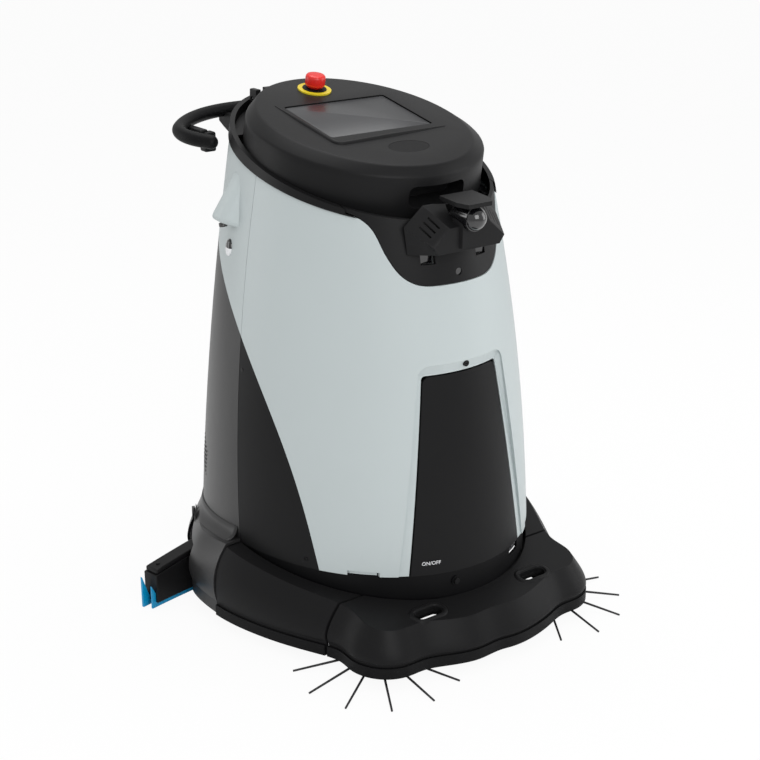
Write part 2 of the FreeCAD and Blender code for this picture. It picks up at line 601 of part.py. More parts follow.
def skirts():
    shell = skirt_shell(SIDE_PLANES, SIDE_REACH).cut(skirt_hole())
    strip = skirt_strip()
    front = box(-500, 500, -600, BUMPER_Y - BUMPER_GAP, 0, 500)
    bumper = shell.common(front)
    for x in (-BUMPER_SLOT_X, BUMPER_SLOT_X):
        bumper = bumper.cut(oval(x, BUMPER_SLOT_Y, SLOT_HALF, SLOT_R, 60, 300))
    save("front_bumper", bumper)
    save("bumper_strip", strip.common(front))
    middle = box(-500, 500, BUMPER_Y, crease_y(120) - PANEL_GAP, 0, 500)
    for side, name in ((1, "left"), (-1, "right")):
        half = box(0, 500, -600, 600, 0, 500) if side == 1 else box(-500, 0, -600, 600, 0, 500)
        save("side_skirt_" + name, shell.common(middle).common(half))
    save("skirt_strips", strip.common(middle))
    rear = skirt_shell(REAR_PLANES, REAR_REACH).common(box(-500, 500, crease_y(120), 600, 0, 500))
    rear = rear.cut(body_solid(-PANEL_GAP / 2, 0, 260))
    save("rear_flange", rear.cut(squeegee_tunnel()))


def squeegee_tunnel():
    """Room for the squeegee, and for its lift, through both sides of the base."""
    return box(-500, 500, TUNNEL_Y[0], TUNNEL_Y[1], 0, SQUEEGEE_TOP + SQUEEGEE_LIFT + TUNNEL_CLEAR)


def skirt_strip():
    """Rubber lip along the skirt's foot."""
    lip = [skirt_ring(-4.0, flat(z)) for z in (SKIRT_BOTTOM - 1, STRIP_TOP - 6)]
    inner = [skirt_ring(SKIRT_WALL, flat(z)) for z in (SKIRT_BOTTOM - 20, STRIP_TOP + 10)]
    outer = Part.makeLoft(lip, True, True)
    skirt = skirt_solid(0.0, 0.0, SKIRT_BOTTOM, SIDE_PLANES, SIDE_REACH)
    return outer.cut(Part.makeLoft(inner, True, True)).cut(skirt)


# ------------------------------------------------------------------ running gear
def base_frame():
    a, b, yc = section(BODY_BOTTOM)
    grow = NECK_INSET + 5
    plate = Part.makeLoft([ellipse(a - grow, b - grow, yc, z) for z in (FRAME_Z, FRAME_Z + FRAME_T)], True, True)
    for side in (-1, 1):
        x = side * WHEEL_X
        half = WHEEL_W / 2 + 8
        plate = plate.cut(box(x - half, x + half, WHEEL_Y - WHEEL_R - 8, WHEEL_Y + WHEEL_R + 8, 0, 300))
        plate = plate.cut(cyl(DECK_ROD_R + PIN_CLEAR, 60, (side * DECK_ROD_X, DECK_ROD_Y, FRAME_Z - 20), (0, 0, 1)))
        plate = plate.cut(cyl(ARM_ROD_R + PIN_CLEAR, 60, (side * ARM_ROD_X, ARM_ROD_Y, FRAME_Z - 20), (0, 0, 1)))
    room = cyl(POWER_R + POWER_ROOM, 60, (POWER_X, front_y(POWER_X, BODY_BOTTOM) - 10, POWER_Z), (0, 1, 0))
    save("base_frame", plate.cut(room))
    ring_z = 812.0
    hoop = body_solid(SHELL_WALL + 0.4, ring_z, ring_z + 16, 2).cut(body_solid(SHELL_WALL + 16, ring_z - 5,
                                                                              ring_z + 21, 2))
    hoop = hoop.cut(box(-400, 400, -400, -120, 700, 1000))
    posts = []
    for side in (-1, 1):
        for y in (-110.0, 190.0):
            x_low = half_width(y, FRAME_Z + 20, 40)
            x_high = half_width(y, ring_z, SHELL_WALL + 10)
            foot, top = V(side * x_low, y, FRAME_Z + FRAME_T), V(side * x_high, y, ring_z + 2)
            posts.append(Part.makeCylinder(8.0, (top - foot).Length, foot, top - foot))
    save("upright_frame", fuse([hoop] + posts).cut(box(-400, 400, -400, 400, 0, FRAME_Z + FRAME_T)))


def drive():
    motors = []
    for side, name in ((1, "left"), (-1, "right")):
        x = side * WHEEL_X
        axis = (side, 0, 0)
        inner = x - side * WHEEL_W / 2
        hub_r = WHEEL_R - WHEEL_TYRE
        tyre = cyl(WHEEL_R, WHEEL_W, (inner, WHEEL_Y, WHEEL_R), axis)
        save("drive_tyre_" + name, tyre.cut(cyl(hub_r, WHEEL_W, (inner, WHEEL_Y, WHEEL_R), axis)))
        wheel = cyl(hub_r, WHEEL_W - 4, (inner + side * 2, WHEEL_Y, WHEEL_R), axis)
        for i in range(6):
            angle = math.radians(60 * i)
            y, z = WHEEL_Y + 46 * math.cos(angle), WHEEL_R + 46 * math.sin(angle)
            wheel = wheel.cut(cyl(13.0, 30, (x + side * 4, y, z), axis))
        shaft = cyl(WHEEL_AXLE_R, 34, (inner - side * 28, WHEEL_Y, WHEEL_R), axis)
        save("drive_wheel_" + name, wheel.fuse(shaft))
        motor = cyl(34.0, 22, (inner - side * 27, WHEEL_Y, WHEEL_R), axis)
        hanger_x = inner - side * 16
        hanger = box(hanger_x - 6, hanger_x + 6, WHEEL_Y - 30, WHEEL_Y + 30, WHEEL_R, FRAME_Z)
        bore = cyl(WHEEL_AXLE_R + PIN_CLEAR, 80, (inner - side * 60, WHEEL_Y, WHEEL_R), axis)
        motors.append(motor.fuse(hanger).cut(bore))
    save("drive_motors", Part.makeCompound(motors))


def casters():
    mounts = []
    for side, name in ((1, "left"), (-1, "right")):
        x = side * CASTER_X
        top = 2 * CASTER_R + 12
        plate = box(x - 30, x + 30, CASTER_Y - 30, CASTER_Y + 30, top + 16, FRAME_Z)
        mounts.append(plate.cut(cyl(9.0 + PIN_CLEAR, 60, (x, CASTER_Y, top), (0, 0, 1))))
        stem = cyl(9.0, 40, (x, CASTER_Y, top + 2), (0, 0, 1))
        crown = cyl(22.0, 12, (x, CASTER_Y, top), (0, 0, 1))
        bridge = box(x - 19, x + 19, CASTER_Y - 8, CASTER_Y + CASTER_TRAIL + 8, top - 5, top)
        legs = [box(x + s * 16.5 - 2.5, x + s * 16.5 + 2.5, CASTER_Y + 2, CASTER_Y + CASTER_TRAIL + 8, CASTER_R - 8,
                    top) for s in (-1, 1)]
        axle = cyl(5.0, 38, (x - 19, CASTER_Y + CASTER_TRAIL, CASTER_R), (1, 0, 0))
        save("caster_fork_" + name, fuse([stem, crown, bridge] + legs + [axle]))
        wheel = cyl(CASTER_R, CASTER_W, (x - CASTER_W / 2, CASTER_Y + CASTER_TRAIL, CASTER_R), (1, 0, 0))
        hole = cyl(5.0 + PIN_CLEAR, 60, (x - 30, CASTER_Y + CASTER_TRAIL, CASTER_R), (1, 0, 0))
        save("caster_wheel_" + name, wheel.cut(hole))
    save("caster_mounts", Part.makeCompound(mounts))


def deck():
    """Scrub deck: housing and two counter-rotating rollers."""
    half = ROLLER_L / 2
    y0, y1 = ROLLER_Y[0] - ROLLER_R - 8, ROLLER_Y[1] + ROLLER_R + 8
    top = 2 * ROLLER_R + 12
    housing = box(-half - 12, half + 12, y0 - 4, y1 + 4, 30, top)
    housing = housing.cut(box(-half - 4, half + 4, y0, y1, 0, top - 4))
    for y in ROLLER_Y:
        housing = housing.cut(cyl(8.0 + PIN_CLEAR, 600, (-300, y, ROLLER_R), (1, 0, 0)))
    rods = [cyl(DECK_ROD_R, 75, (s * DECK_ROD_X, DECK_ROD_Y, top - 2), (0, 0, 1)) for s in (-1, 1)]
    save("scrub_deck", fuse([housing] + rods))
    for y, name in zip(ROLLER_Y, ("front", "rear")):
        core = cyl(ROLLER_R - 1, ROLLER_L, (-half, y, ROLLER_R), (1, 0, 0))
        axle = cyl(8.0, ROLLER_L + 22, (-half - 11, y, ROLLER_R), (1, 0, 0))
        save("roller_" + name, core.fuse(axle))


def side_brushes():
    motors = []
    for side, name in ((1, "left"), (-1, "right")):
        x = side * BRUSH_X
        hub = Part.makeCone(38, 24, 14, V(x, BRUSH_Y, 22), V(0, 0, 1))
        spindle = cyl(8.0, 28, (x, BRUSH_Y, 36), (0, 0, 1))
        tufts = []
        for i in range(BUNDLES):
            angle = math.radians(360.0 / BUNDLES * i + (0.8 if side == 1 else 2.0))
            out = V(math.cos(angle), math.sin(angle), 0)
            start = V(x, BRUSH_Y, 26.5) + out * 30
            tip = V(x, BRUSH_Y, 2.5) + out * (BRUSH_REACH - 1)
            tufts.append(Part.makeCone(2.5, 2.0, (tip - start).Length, start, tip - start))
        save("side_brush_" + name, fuse([hub, spindle] + tufts))
        gear = cyl(26.0, 34, (x, BRUSH_Y, 60), (0, 0, 1))
        foot = side * BRUSH_MOTOR_X
        arm = prism([(x, BRUSH_Y - 12, 78), (x, BRUSH_Y + 12, 78), (foot, BRUSH_MOTOR_Y + 10, 78),
                     (foot, BRUSH_MOTOR_Y - 10, 78)], (0, 0, 10))
        post = cyl(10.0, FRAME_Z - 78, (foot, BRUSH_MOTOR_Y, 78), (0, 0, 1))
        bore = cyl(8.0 + PIN_CLEAR, 60, (x, BRUSH_Y, 30), (0, 0, 1))
        motors.append(fuse([gear, arm, post]).cut(bore))
    save("brush_motors", Part.makeCompound(motors))


def squeegee_curve(offset):
    sag = SQUEEGEE_MID_Y - SQUEEGEE_END_Y
    radius = (SQUEEGEE_HALF ** 2 + sag ** 2) / (2 * sag)
    yc = SQUEEGEE_MID_Y - radius
    r = radius + offset
    half = math.asin(SQUEEGEE_HALF / radius)
    return [V(r * math.sin(a), yc + r * math.cos(a), 0) for a in (-half, 0.0, half)]


def squeegee_band(y0, y1, low, high):
    """Curved bar between two offsets of the squeegee's arc."""
    a, b = squeegee_curve(y0), squeegee_curve(y1)
    edges = [Part.Arc(*a).toShape(), Part.makeLine(a[2], b[2]), Part.Arc(b[2], b[1], b[0]).toShape(),
             Part.makeLine(b[0], a[0])]
    band = Part.Face(Part.Wire(edges)).extrude(V(0, 0, high - low))
    band.translate(V(0, 0, low))
    return band


def squeegee():
    """Arched channel open below, with the two rubber blades clamped to its front and back walls."""
    wall, ceiling, low = 6.0, SQUEEGEE_END_TOP - 8.0, 12.0
    housing = squeegee_band(-18, 20, low, SQUEEGEE_TOP).cut(squeegee_band(wall - 18, 24, 0, ceiling))
    far = SQUEEGEE_HALF + 30
    for side in (-1, 1):
        wedge = [(side * far, 0, 200), (side * far, 0, SQUEEGEE_END_TOP), (side * SLOPE_START, 0, SQUEEGEE_TOP + 1),
                 (side * SLOPE_START, 0, 200)]
        housing = housing.cut(prism(wedge, (0, 400, 0)))
    end_walls = squeegee_band(wall - 18, 20, low, ceiling)
    end_walls = end_walls.cut(box(wall - SQUEEGEE_HALF, SQUEEGEE_HALF - wall, 0, 400, 0, 200))
    save("squeegee_housing", fuse([housing, end_walls.cut(squeegee_band(-12.5, -7.5, 0, 200))]))
    blades = [squeegee_band(-12, -8, 2, ceiling), squeegee_band(20.3, 24.3, 2, SQUEEGEE_END_TOP - 4)]
    save("squeegee_blades", Part.makeCompound(blades))
    yoke = box(-80, 80, 150, 216, SQUEEGEE_TOP, SQUEEGEE_TOP + 10)
    rod_foot = SQUEEGEE_TOP + 4
    rods = [cyl(ARM_ROD_R, FRAME_Z + 28 - rod_foot, (s * ARM_ROD_X, ARM_ROD_Y, rod_foot), (0, 0, 1)) for s in (-1, 1)]
    save("squeegee_arm", fuse([yoke] + rods))


# ------------------------------------------------------------------ inside
def inside():
    floor = FRAME_Z + FRAME_T
    save("battery_pack", box(-85, 85, -262, -132, floor, 330))
    save("control_box", box(-75, 75, -235, -132, 345, 500))
    save("clean_tank", box(-170, 170, -120, 130, floor + 60, 560).cut(box(-300, 300, -90, 150, 0, floor + 10)))
    tank = body_solid(50, 575, 790, 3).common(box(-400, 400, -150, 280, 0, 900))
    save("recovery_tank", tank)
    save("vacuum_motor", cyl(70.0, 180, (0, 215, floor), (0, 0, 1)))
    save("recovery_cap", cyl(60.0, 18, (0, 20, 790), (0, 0, 1)))


# ------------------------------------------------------------------ handle and side pods
def bend(face, centre, degrees):
    """Sweeps a section round a vertical line; a positive turn goes anticlockwise."""
    return face.revolve(centre, V(0, 0, 1), degrees)


def handle_side():
    """Right half of the bar in its own plane: a straight stretch, a wide bow, a tight curl and a round tip."""
    turned = 0.0
    at, along = V(0, 0, 0), V(1, 0, 0)
    runs = [cyl(BAR_R, BAR_STRAIGHT, (0, 0, 0), (1, 0, 0))]
    at = V(BAR_STRAIGHT, 0, 0)
    for radius, turn in ((BAR_BOW_R, BAR_BOW_TURN), (BAR_CURL_R, BAR_CURL_TURN)):
        inward = V(-math.sin(math.radians(turned)), -math.cos(math.radians(turned)), 0)
        centre = at + inward * radius
        section_face = Part.Face(Part.Wire([Part.makeCircle(BAR_R, at, along)]))
        runs.append(bend(section_face, centre, -turn))
        turned += turn
        outward = V(math.sin(math.radians(turned)), math.cos(math.radians(turned)), 0)
        at = centre + outward * radius
        along = V(math.cos(math.radians(turned)), -math.sin(math.radians(turned)), 0)
    runs.append(Part.makeCylinder(BAR_R, BAR_TIP, at, along))
    runs.append(Part.makeSphere(BAR_R, at + along * BAR_TIP))
    return fuse(runs)


def handle():
    """Bowed push bar with curled ends, and the two arms that hold it."""
    side = handle_side()
    bar = side.fuse(mirrored(side)).removeSplitter()
    bar.Placement = FreeCAD.Placement(V(0, BAR_Y, BAR_Z), FreeCAD.Rotation(V(1, 0, 0), BAR_TILT))
    save("handle_bar", bar)
    arms = []
    for s in (-1, 1):
        x = s * ARM_X
        rear_y = back_y(x, BAR_Z - 40) - 6
        profile = [(rear_y, BAR_Z - 82), (BAR_Y - 8, BAR_Z - 34), (BAR_Y + 10, BAR_Z - 24), (BAR_Y + 10, BAR_Z - 4),
                   (rear_y, BAR_Z - 6)]
        arms.append(prism([(x - ARM_W / 2, y, z) for y, z in profile], (ARM_W, 0, 0)))
        arms.append(box(x - ARM_W, x + ARM_W, rear_y, back_y(x, BAR_Z - 40) + 12, BAR_Z - 92, BAR_Z - 4))
    web = box(-ARM_X, ARM_X, back_y(0, BAR_Z - 30) + 2, back_y(0, BAR_Z - 30) + 10, BAR_Z - 74, BAR_Z - 44)
    bracket = fuse(arms + [web]).cut(body_solid(-RIM_PROUD - 0.5, 700, 1010, 5)).cut(bar)
    save("handle_bracket", bracket)


def back_y(x, z):
    a, b, yc = section(z)
    return yc + b * math.sqrt(1.0 - (x / a) ** 2)


def side_pods():
    """Wedge-shaped camera housings on both flanks, and the oval lamps below them."""
    foot = [(-225, 54), (-225, 150), (-294, 130), (-292, 98)]
    low = [(x, y, 772 - 0.33 * (x + 225) + 0.1 * (y - 54)) for x, y in foot]
    high = [(-212, 72, 892), (-202, 140, 892), (-230, 136, 892), (-236, 90, 892)]
    pod = ruled([low, high])
    socket = Part.makeCylinder(7.0, 12, V(-270, 113, 780), V(-0.1, 0, 1))
    pod = pod.cut(socket).cut(body_solid(0.0, BODY_BOTTOM, 1000))
    save("side_pods", Part.makeCompound([pod, mirrored(pod)]))
    lens = Part.makeCylinder(6.8, 6, V(-270.4, 113, 785), V(-0.1, 0, 1))
    front = cyl(6.6, 14, (0, front_y(0, 738) + 2.5, 738), (0, 1, 0))
    save("camera_lenses", Part.makeCompound([front, lens, mirrored(lens)]))
    x = -half_width(110, 742)
    lamp = cyl(9.0, 6, (x - 2, 110, 742), (1, 0, 0)).cut(body_solid(0.0, BODY_BOTTOM, 1000))
    save("side_lamps", Part.makeCompound([lamp, mirrored(lamp)]))


def rear_deck():
    """Crescent deck between the lid and the rim, with the block that carries the hinge pin."""
    inside_rim = body_solid(RIM_WIDTH - RIM_PROUD + 0.2, 780, 1010, 5)
    tray = inside_rim.common(below_plane(RIM_Z, RIM_SLOPE, -18))
    tray = tray.cut(below_plane(RIM_Z, RIM_SLOPE, -23)).common(box(-300, 300, 200, 500, 700, 1100))
    tray = tray.cut(lid_place(lid_body(-4.0, LID_DRUM_DEPTH + 60)))
    body = box(-HINGE_HALF - 4, HINGE_HALF + 4, HINGE_Y - 16, HINGE_Y + 10, 950, 1004)
    for x in (-HINGE_X, HINGE_X):
        body = body.cut(box(x - 10, x + 10, 250, 330, HINGE_Z - 14, 1010))
    body = body.cut(cyl(HINGE_R + PIN_CLEAR, 400, (-200, HINGE_Y, HINGE_Z), (1, 0, 0)))
    save("rear_deck", body.common(inside_rim).fuse(tray))


def screw_bodies(r, length, sunk):
    """Cylinders on the screws' lines on both flanks, their ends sunk below the surface."""
    bodies = []
    for y, z in SCREWS:
        start = half_width(y, z) - sunk - length
        bodies += [cyl(r, length, (s * start, y, z), (s, 0, 0)) for s in (-1, 1)]
    return bodies


def screws():
    """Panel screws on both flanks, as one group."""
    save("panel_screws", Part.makeCompound(screw_bodies(SCREW_R, SCREW_LENGTH, -0.5)))


if __name__ == "__main__":
    os.makedirs(OUT, exist_ok=True)
    shells()
    rim()
    sensor_insert()
    sensor_pod()
    lid()
    service_door()
    door_lock()
    neck()
    skirts()
    base_frame()
    drive()
    casters()
    deck()
    side_brushes()
    squeegee()
    inside()
    handle()
    side_pods()
    rear_deck()
    screws()
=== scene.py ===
import math
import json

import bmesh
import bpy
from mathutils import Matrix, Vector


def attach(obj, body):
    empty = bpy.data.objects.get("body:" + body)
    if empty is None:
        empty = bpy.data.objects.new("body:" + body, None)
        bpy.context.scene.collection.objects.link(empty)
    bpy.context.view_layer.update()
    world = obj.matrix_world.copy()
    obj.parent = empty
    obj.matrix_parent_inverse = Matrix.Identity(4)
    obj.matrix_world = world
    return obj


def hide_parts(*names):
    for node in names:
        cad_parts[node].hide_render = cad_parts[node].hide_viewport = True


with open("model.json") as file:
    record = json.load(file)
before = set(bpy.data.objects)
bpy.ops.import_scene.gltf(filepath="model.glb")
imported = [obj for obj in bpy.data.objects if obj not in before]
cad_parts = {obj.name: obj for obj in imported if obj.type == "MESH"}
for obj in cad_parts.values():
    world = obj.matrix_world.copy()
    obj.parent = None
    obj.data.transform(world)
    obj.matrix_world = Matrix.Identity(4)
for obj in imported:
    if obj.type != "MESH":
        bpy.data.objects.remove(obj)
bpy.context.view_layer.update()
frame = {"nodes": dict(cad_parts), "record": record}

# ------------------------------------------------------------------ colours (linear RGB)
SHELL = (0.50, 0.555, 0.56)
CHARCOAL = (0.0095, 0.0095, 0.01)
BLACK = (0.008, 0.008, 0.0085)
SOFT = (0.004, 0.004, 0.0045)
LID_BLACK = (0.010, 0.010, 0.0105)
# lighter than the other blacks: painted light for the rim reflection on the rear cover
COVER_BLACK_WITH_SHEEN = (0.02, 0.02, 0.0205)
BLUE = (0.0, 0.30, 0.58)
RED = (0.75, 0.02, 0.015)
YELLOW = (0.78, 0.62, 0.02)

# ------------------------------------------------------------------ camera
CAMERA_AZIMUTH = -36.711
CAMERA_ELEVATION = 20.387
CAMERA_TARGET = Vector((-0.2072, -0.308, 0.5813))
CAMERA_DISTANCE = 2.6702
CAMERA_LENS = 71.05
SENSOR_WIDTH = 36.0


def make_camera():
    data = bpy.data.cameras.new("camera")
    data.lens = CAMERA_LENS
    data.sensor_width = SENSOR_WIDTH
    cam = bpy.data.objects.new("camera", data)
    bpy.context.scene.collection.objects.link(cam)
    a, e = math.radians(CAMERA_AZIMUTH), math.radians(CAMERA_ELEVATION)
    back = Vector((math.sin(a) * math.cos(e), -math.cos(a) * math.cos(e), math.sin(e)))
    cam.location = CAMERA_TARGET + back * CAMERA_DISTANCE
    cam.rotation_mode = "QUATERNION"
    cam.rotation_quaternion = (-back).to_track_quat("-Z", "Y")
    bpy.context.scene.camera = cam


# ------------------------------------------------------------------ materials
def new_material(name):
    material = bpy.data.materials.new(name)
    material.use_nodes = True
    tree = material.node_tree
    return material, tree, tree.nodes["Principled BSDF"]


MOTTLE_SCALE = 6.0           # size of the slow changes of tone
GLOSS_SPREAD = 0.05          # roughness either side of the mean
GRAIN_STRENGTH = 0.35
COAT_ROUGHNESS = 0.12


def plastic(name, colour, roughness, grain=900.0, depth=0.0002, mottle=0.08, coat=0.0, specular=0.5):
    """Moulded plastic: a fine spark-eroded grain, slight variation of tone and gloss."""
    material, tree, shader = new_material(name)
    node, link = tree.nodes.new, tree.links.new
    place = node("ShaderNodeTexCoord")
    fine = node("ShaderNodeTexNoise")
    fine.inputs["Scale"].default_value = grain
    fine.inputs["Detail"].default_value = 2.0
    link(place.outputs["Object"], fine.inputs["Vector"])
    wide = node("ShaderNodeTexNoise")
    wide.inputs["Scale"].default_value = MOTTLE_SCALE
    wide.inputs["Detail"].default_value = 3.0
    link(place.outputs["Object"], wide.inputs["Vector"])
    tone = node("ShaderNodeMixRGB")
    tone.inputs["Color1"].default_value = (*[c * (1 - mottle) for c in colour], 1)
    tone.inputs["Color2"].default_value = (*[min(1, c * (1 + mottle)) for c in colour], 1)
    link(wide.outputs["Fac"], tone.inputs["Fac"])
    link(tone.outputs["Color"], shader.inputs["Base Color"])
    gloss = node("ShaderNodeMapRange")
    gloss.inputs["To Min"].default_value = roughness - GLOSS_SPREAD
    gloss.inputs["To Max"].default_value = roughness + GLOSS_SPREAD
    link(fine.outputs["Fac"], gloss.inputs["Value"])
    link(gloss.outputs["Result"], shader.inputs["Roughness"])
    bump = node("ShaderNodeBump")
    bump.inputs["Distance"].default_value = depth
    bump.inputs["Strength"].default_value = GRAIN_STRENGTH
    link(fine.outputs["Fac"], bump.inputs["Height"])
    link(bump.outputs["Normal"], shader.inputs["Normal"])
    shader.inputs["Coat Weight"].default_value = coat
    shader.inputs["Coat Roughness"].default_value = COAT_ROUGHNESS
    shader.inputs["Specular IOR Level"].default_value = specular
    return material


MATERIALS = {
    "shell_grey": plastic("shell_grey", SHELL, 0.42, mottle=0.02),
    "charcoal": plastic("charcoal", CHARCOAL, 0.42, specular=0.12),
    "black_plastic": plastic("black_plastic", BLACK, 0.4, specular=0.18),
    "soft_black": plastic("soft_black", SOFT, 0.5, specular=0.14),
    "lens": plastic("lens", (0.004, 0.004, 0.005), 0.12, coat=1.0, depth=0.0),
    "screen": plastic("screen", (0.03, 0.031, 0.034), 0.3, depth=0.0),
    "lamp": plastic("lamp", (0.85, 0.86, 0.88), 0.2),
    "stop_red": plastic("stop_red", RED, 0.3),
    "stop_yellow": plastic("stop_yellow", YELLOW, 0.4),
    "steel_frame": plastic("steel_frame", (0.05, 0.05, 0.055), 0.4),
    "bare_steel": plastic("bare_steel", (0.5, 0.5, 0.5), 0.3),
    "tyre_rubber": plastic("tyre_rubber", (0.02, 0.02, 0.02), 0.8),
    "wheel_hub": plastic("wheel_hub", (0.2, 0.2, 0.21), 0.5),
    "bristle": plastic("bristle", (0.006, 0.006, 0.007), 0.5),
    "roller_bristle": plastic("roller_bristle", (0.02, 0.1, 0.3), 0.6),
    "blade_blue": plastic("blade_blue", BLUE, 0.35),
    "battery_case": plastic("battery_case", (0.05, 0.05, 0.05), 0.6),
    "tank_plastic": plastic("tank_plastic", (0.7, 0.72, 0.72), 0.4),
}

# Pieces moulded in the same charcoal but finished glossier or duller than the rest. The cover's black is
# drawn lighter than the charcoal, painted light that stands for the rim reflection along its edge; its gloss
# is its own.
FINISHES = {
    "lid": plastic("lid_satin", LID_BLACK, 0.42, specular=0.14),
    "cover": plastic("cover_gloss_and_painted_sheen", COVER_BLACK_WITH_SHEEN, 0.36, specular=0.42),
}
FINISH_OF = {"rear_cover": "cover", "rear_flange": "cover"}

# Imported pieces that take another slot's finish than the record's. The neck ring's soft black, darker than
# its own charcoal, is painted shade under the shell's front
BLACK_PARTS = {"panel_screws": "black_plastic", "power_button": "black_plastic",
               "door_lock": "black_plastic",
               "neck_ring": "soft_black"}


def paint_nodes():
    """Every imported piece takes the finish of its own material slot."""
    for row in frame["record"]["subparts"]:
        name = row["node"]
        slot = BLACK_PARTS.get(name, row["material_slot"])
        for place in frame["nodes"][name].material_slots:
            place.material = FINISHES[FINISH_OF[name]] if name in FINISH_OF else MATERIALS[slot]


# ------------------------------------------------------------------ stage
FLOOR_WHITE = 0.93           # share of plain white in what the camera sees of the floor
FLOOR_COLOUR = (0.92, 0.92, 0.92, 1)
FLOOR_ROUGHNESS = 0.9
FLOOR_REACH = 30.0
WORLD_STRENGTH = 0.6
WHITE = (1, 1, 1, 1)


def make_stage():
    mesh = bpy.data.meshes.new("floor")
    bm = bmesh.new()
    bmesh.ops.create_grid(bm, x_segments=1, y_segments=1, size=FLOOR_REACH)
    bm.to_mesh(mesh)
    bm.free()
    floor = bpy.data.objects.new("floor", mesh)
    bpy.context.scene.collection.objects.link(floor)
    material, tree, shader = new_material("floor")
    shader.inputs["Base Color"].default_value = FLOOR_COLOUR
    shader.inputs["Roughness"].default_value = FLOOR_ROUGHNESS
    shader.inputs["Specular IOR Level"].default_value = 0.0
    show_white(tree, shader.outputs["BSDF"], tree.nodes["Material Output"].inputs["Surface"], FLOOR_WHITE)
    mesh.materials.append(material)
    world = bpy.data.worlds.new("world")
    world.use_nodes = True
    background = world.node_tree.nodes["Background"]
    background.inputs["Color"].default_value = WHITE
    background.inputs["Strength"].default_value = WORLD_STRENGTH
    show_white(world.node_tree, background.outputs["Background"],
               world.node_tree.nodes["World Output"].inputs["Surface"], 1.0)
    bpy.context.scene.world = world


def show_white(tree, shaded, output, share):
    """Mixes white into what the camera sees, directly or through glass; other rays see the given shader."""
    node, link = tree.nodes.new, tree.links.new
    path = node("ShaderNodeLightPath")
    seen = node("ShaderNodeMath")
    seen.operation = "MAXIMUM"
    link(path.outputs["Is Camera Ray"], seen.inputs[0])
    link(path.outputs["Is Transmission Ray"], seen.inputs[1])
    of_material = output.node.bl_idname == "ShaderNodeOutputMaterial"
    white = node("ShaderNodeEmission" if of_material else "ShaderNodeBackground")
    white.inputs["Color"].default_value = WHITE
    white.inputs["Strength"].default_value = 1.0
    amount = node("ShaderNodeMath")
    amount.operation = "MULTIPLY"
    amount.inputs[1].default_value = share
    link(seen.outputs[0], amount.inputs[0])
    mix = node("ShaderNodeMixShader")
    link(amount.outputs[0], mix.inputs[0])
    link(shaded, mix.inputs[1])
    link(white.outputs[0], mix.inputs[2])
    link(mix.outputs[0], output)


def area_light(name, location, target, size, energy):
    data = bpy.data.lights.new(name, "AREA")
    data.shape = "RECTANGLE"
    data.size, data.size_y = size
    data.energy = energy
    lamp = bpy.data.objects.new(name, data)
    lamp.location = location
    lamp.rotation_mode = "QUATERNION"
    lamp.rotation_quaternion = (Vector(target) - Vector(location)).to_track_quat("-Z", "Y")
    bpy.context.scene.collection.objects.link(lamp)


# ------------------------------------------------------------------ small mesh tools
EDGE_ANGLE = math.radians(25)        # edges sharper than this are rounded
CREASE_ANGLE = math.radians(40)      # edges sharper than this are shaded sharp
LID_EDGE_ANGLE = math.radians(50)


def loose_object(name, bm):
    """Turns a bmesh into an object in the scene, with no finish and no body yet."""
    bmesh.ops.recalc_face_normals(bm, faces=bm.faces)
    mesh = bpy.data.meshes.new(name)
    bm.to_mesh(mesh)
    bm.free()
    thing = bpy.data.objects.new(name, mesh)
    bpy.context.scene.collection.objects.link(thing)
    return thing


def round_edge(piece, width, segments, angle):
    """Rounds the edges that are sharper than the angle."""
    rounding = piece.modifiers.new("rounded", "BEVEL")
    rounding.width = width
    rounding.segments = segments
    rounding.limit_method = "ANGLE"
    rounding.angle_limit = angle


def shade_smooth(piece, angle):
    for face in piece.data.polygons:
        face.use_smooth = True
    piece.data.set_sharp_from_angle(angle=angle)


def finish_piece(name, bm, slot, body, bevel=0.0, segments=3, finish=None):
    """Turns a bmesh into a smooth-shaded piece with an optional rounded edge."""
    piece = loose_object(name, bm)
    piece.data.materials.append(FINISHES[finish] if finish else MATERIALS[slot])
    if bevel:
        round_edge(piece, bevel, segments, EDGE_ANGLE)
    shade_smooth(piece, CREASE_ANGLE)
    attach(piece, body)
    return piece


def loop_of(bm, points):
    return [bm.verts.new(p) for p in points]


def skin_loops(bm, loops, cap_first=True, cap_last=True):
    """Quads between closed loops with equal numbers of points, with flat ends."""
    for a, b in zip(loops, loops[1:]):
        for i in range(len(a)):
            j = (i + 1) % len(a)
            bm.faces.new((a[i], a[j], b[j], b[i]))
    if cap_first:
        bm.faces.new(list(reversed(loops[0])))
    if cap_last:
        bm.faces.new(loops[-1])


def circle_angles(turns):
    """Bearings of evenly spaced points round a circle."""
    return [2 * math.pi * i / turns for i in range(turns)]


def revolve(bm, profile, place, turns=48):
    """Turns a profile of (radius, height) about the local upright axis; place maps to the machine."""
    loops = []
    for r, h in profile:
        points = [place(r * math.cos(a), r * math.sin(a), h) for a in circle_angles(turns)]
        loops.append(loop_of(bm, points))
    skin_loops(bm, loops)


def oval_points(half, r, steps=10):
    """Stadium outline: two half circles joined by straights."""
    points = []
    for side in (1, -1):
        for i in range(steps + 1):
            a = math.pi * (i / steps - 0.5)
            points.append((side * (half + r * math.cos(a)), side * r * math.sin(a)))
    return points


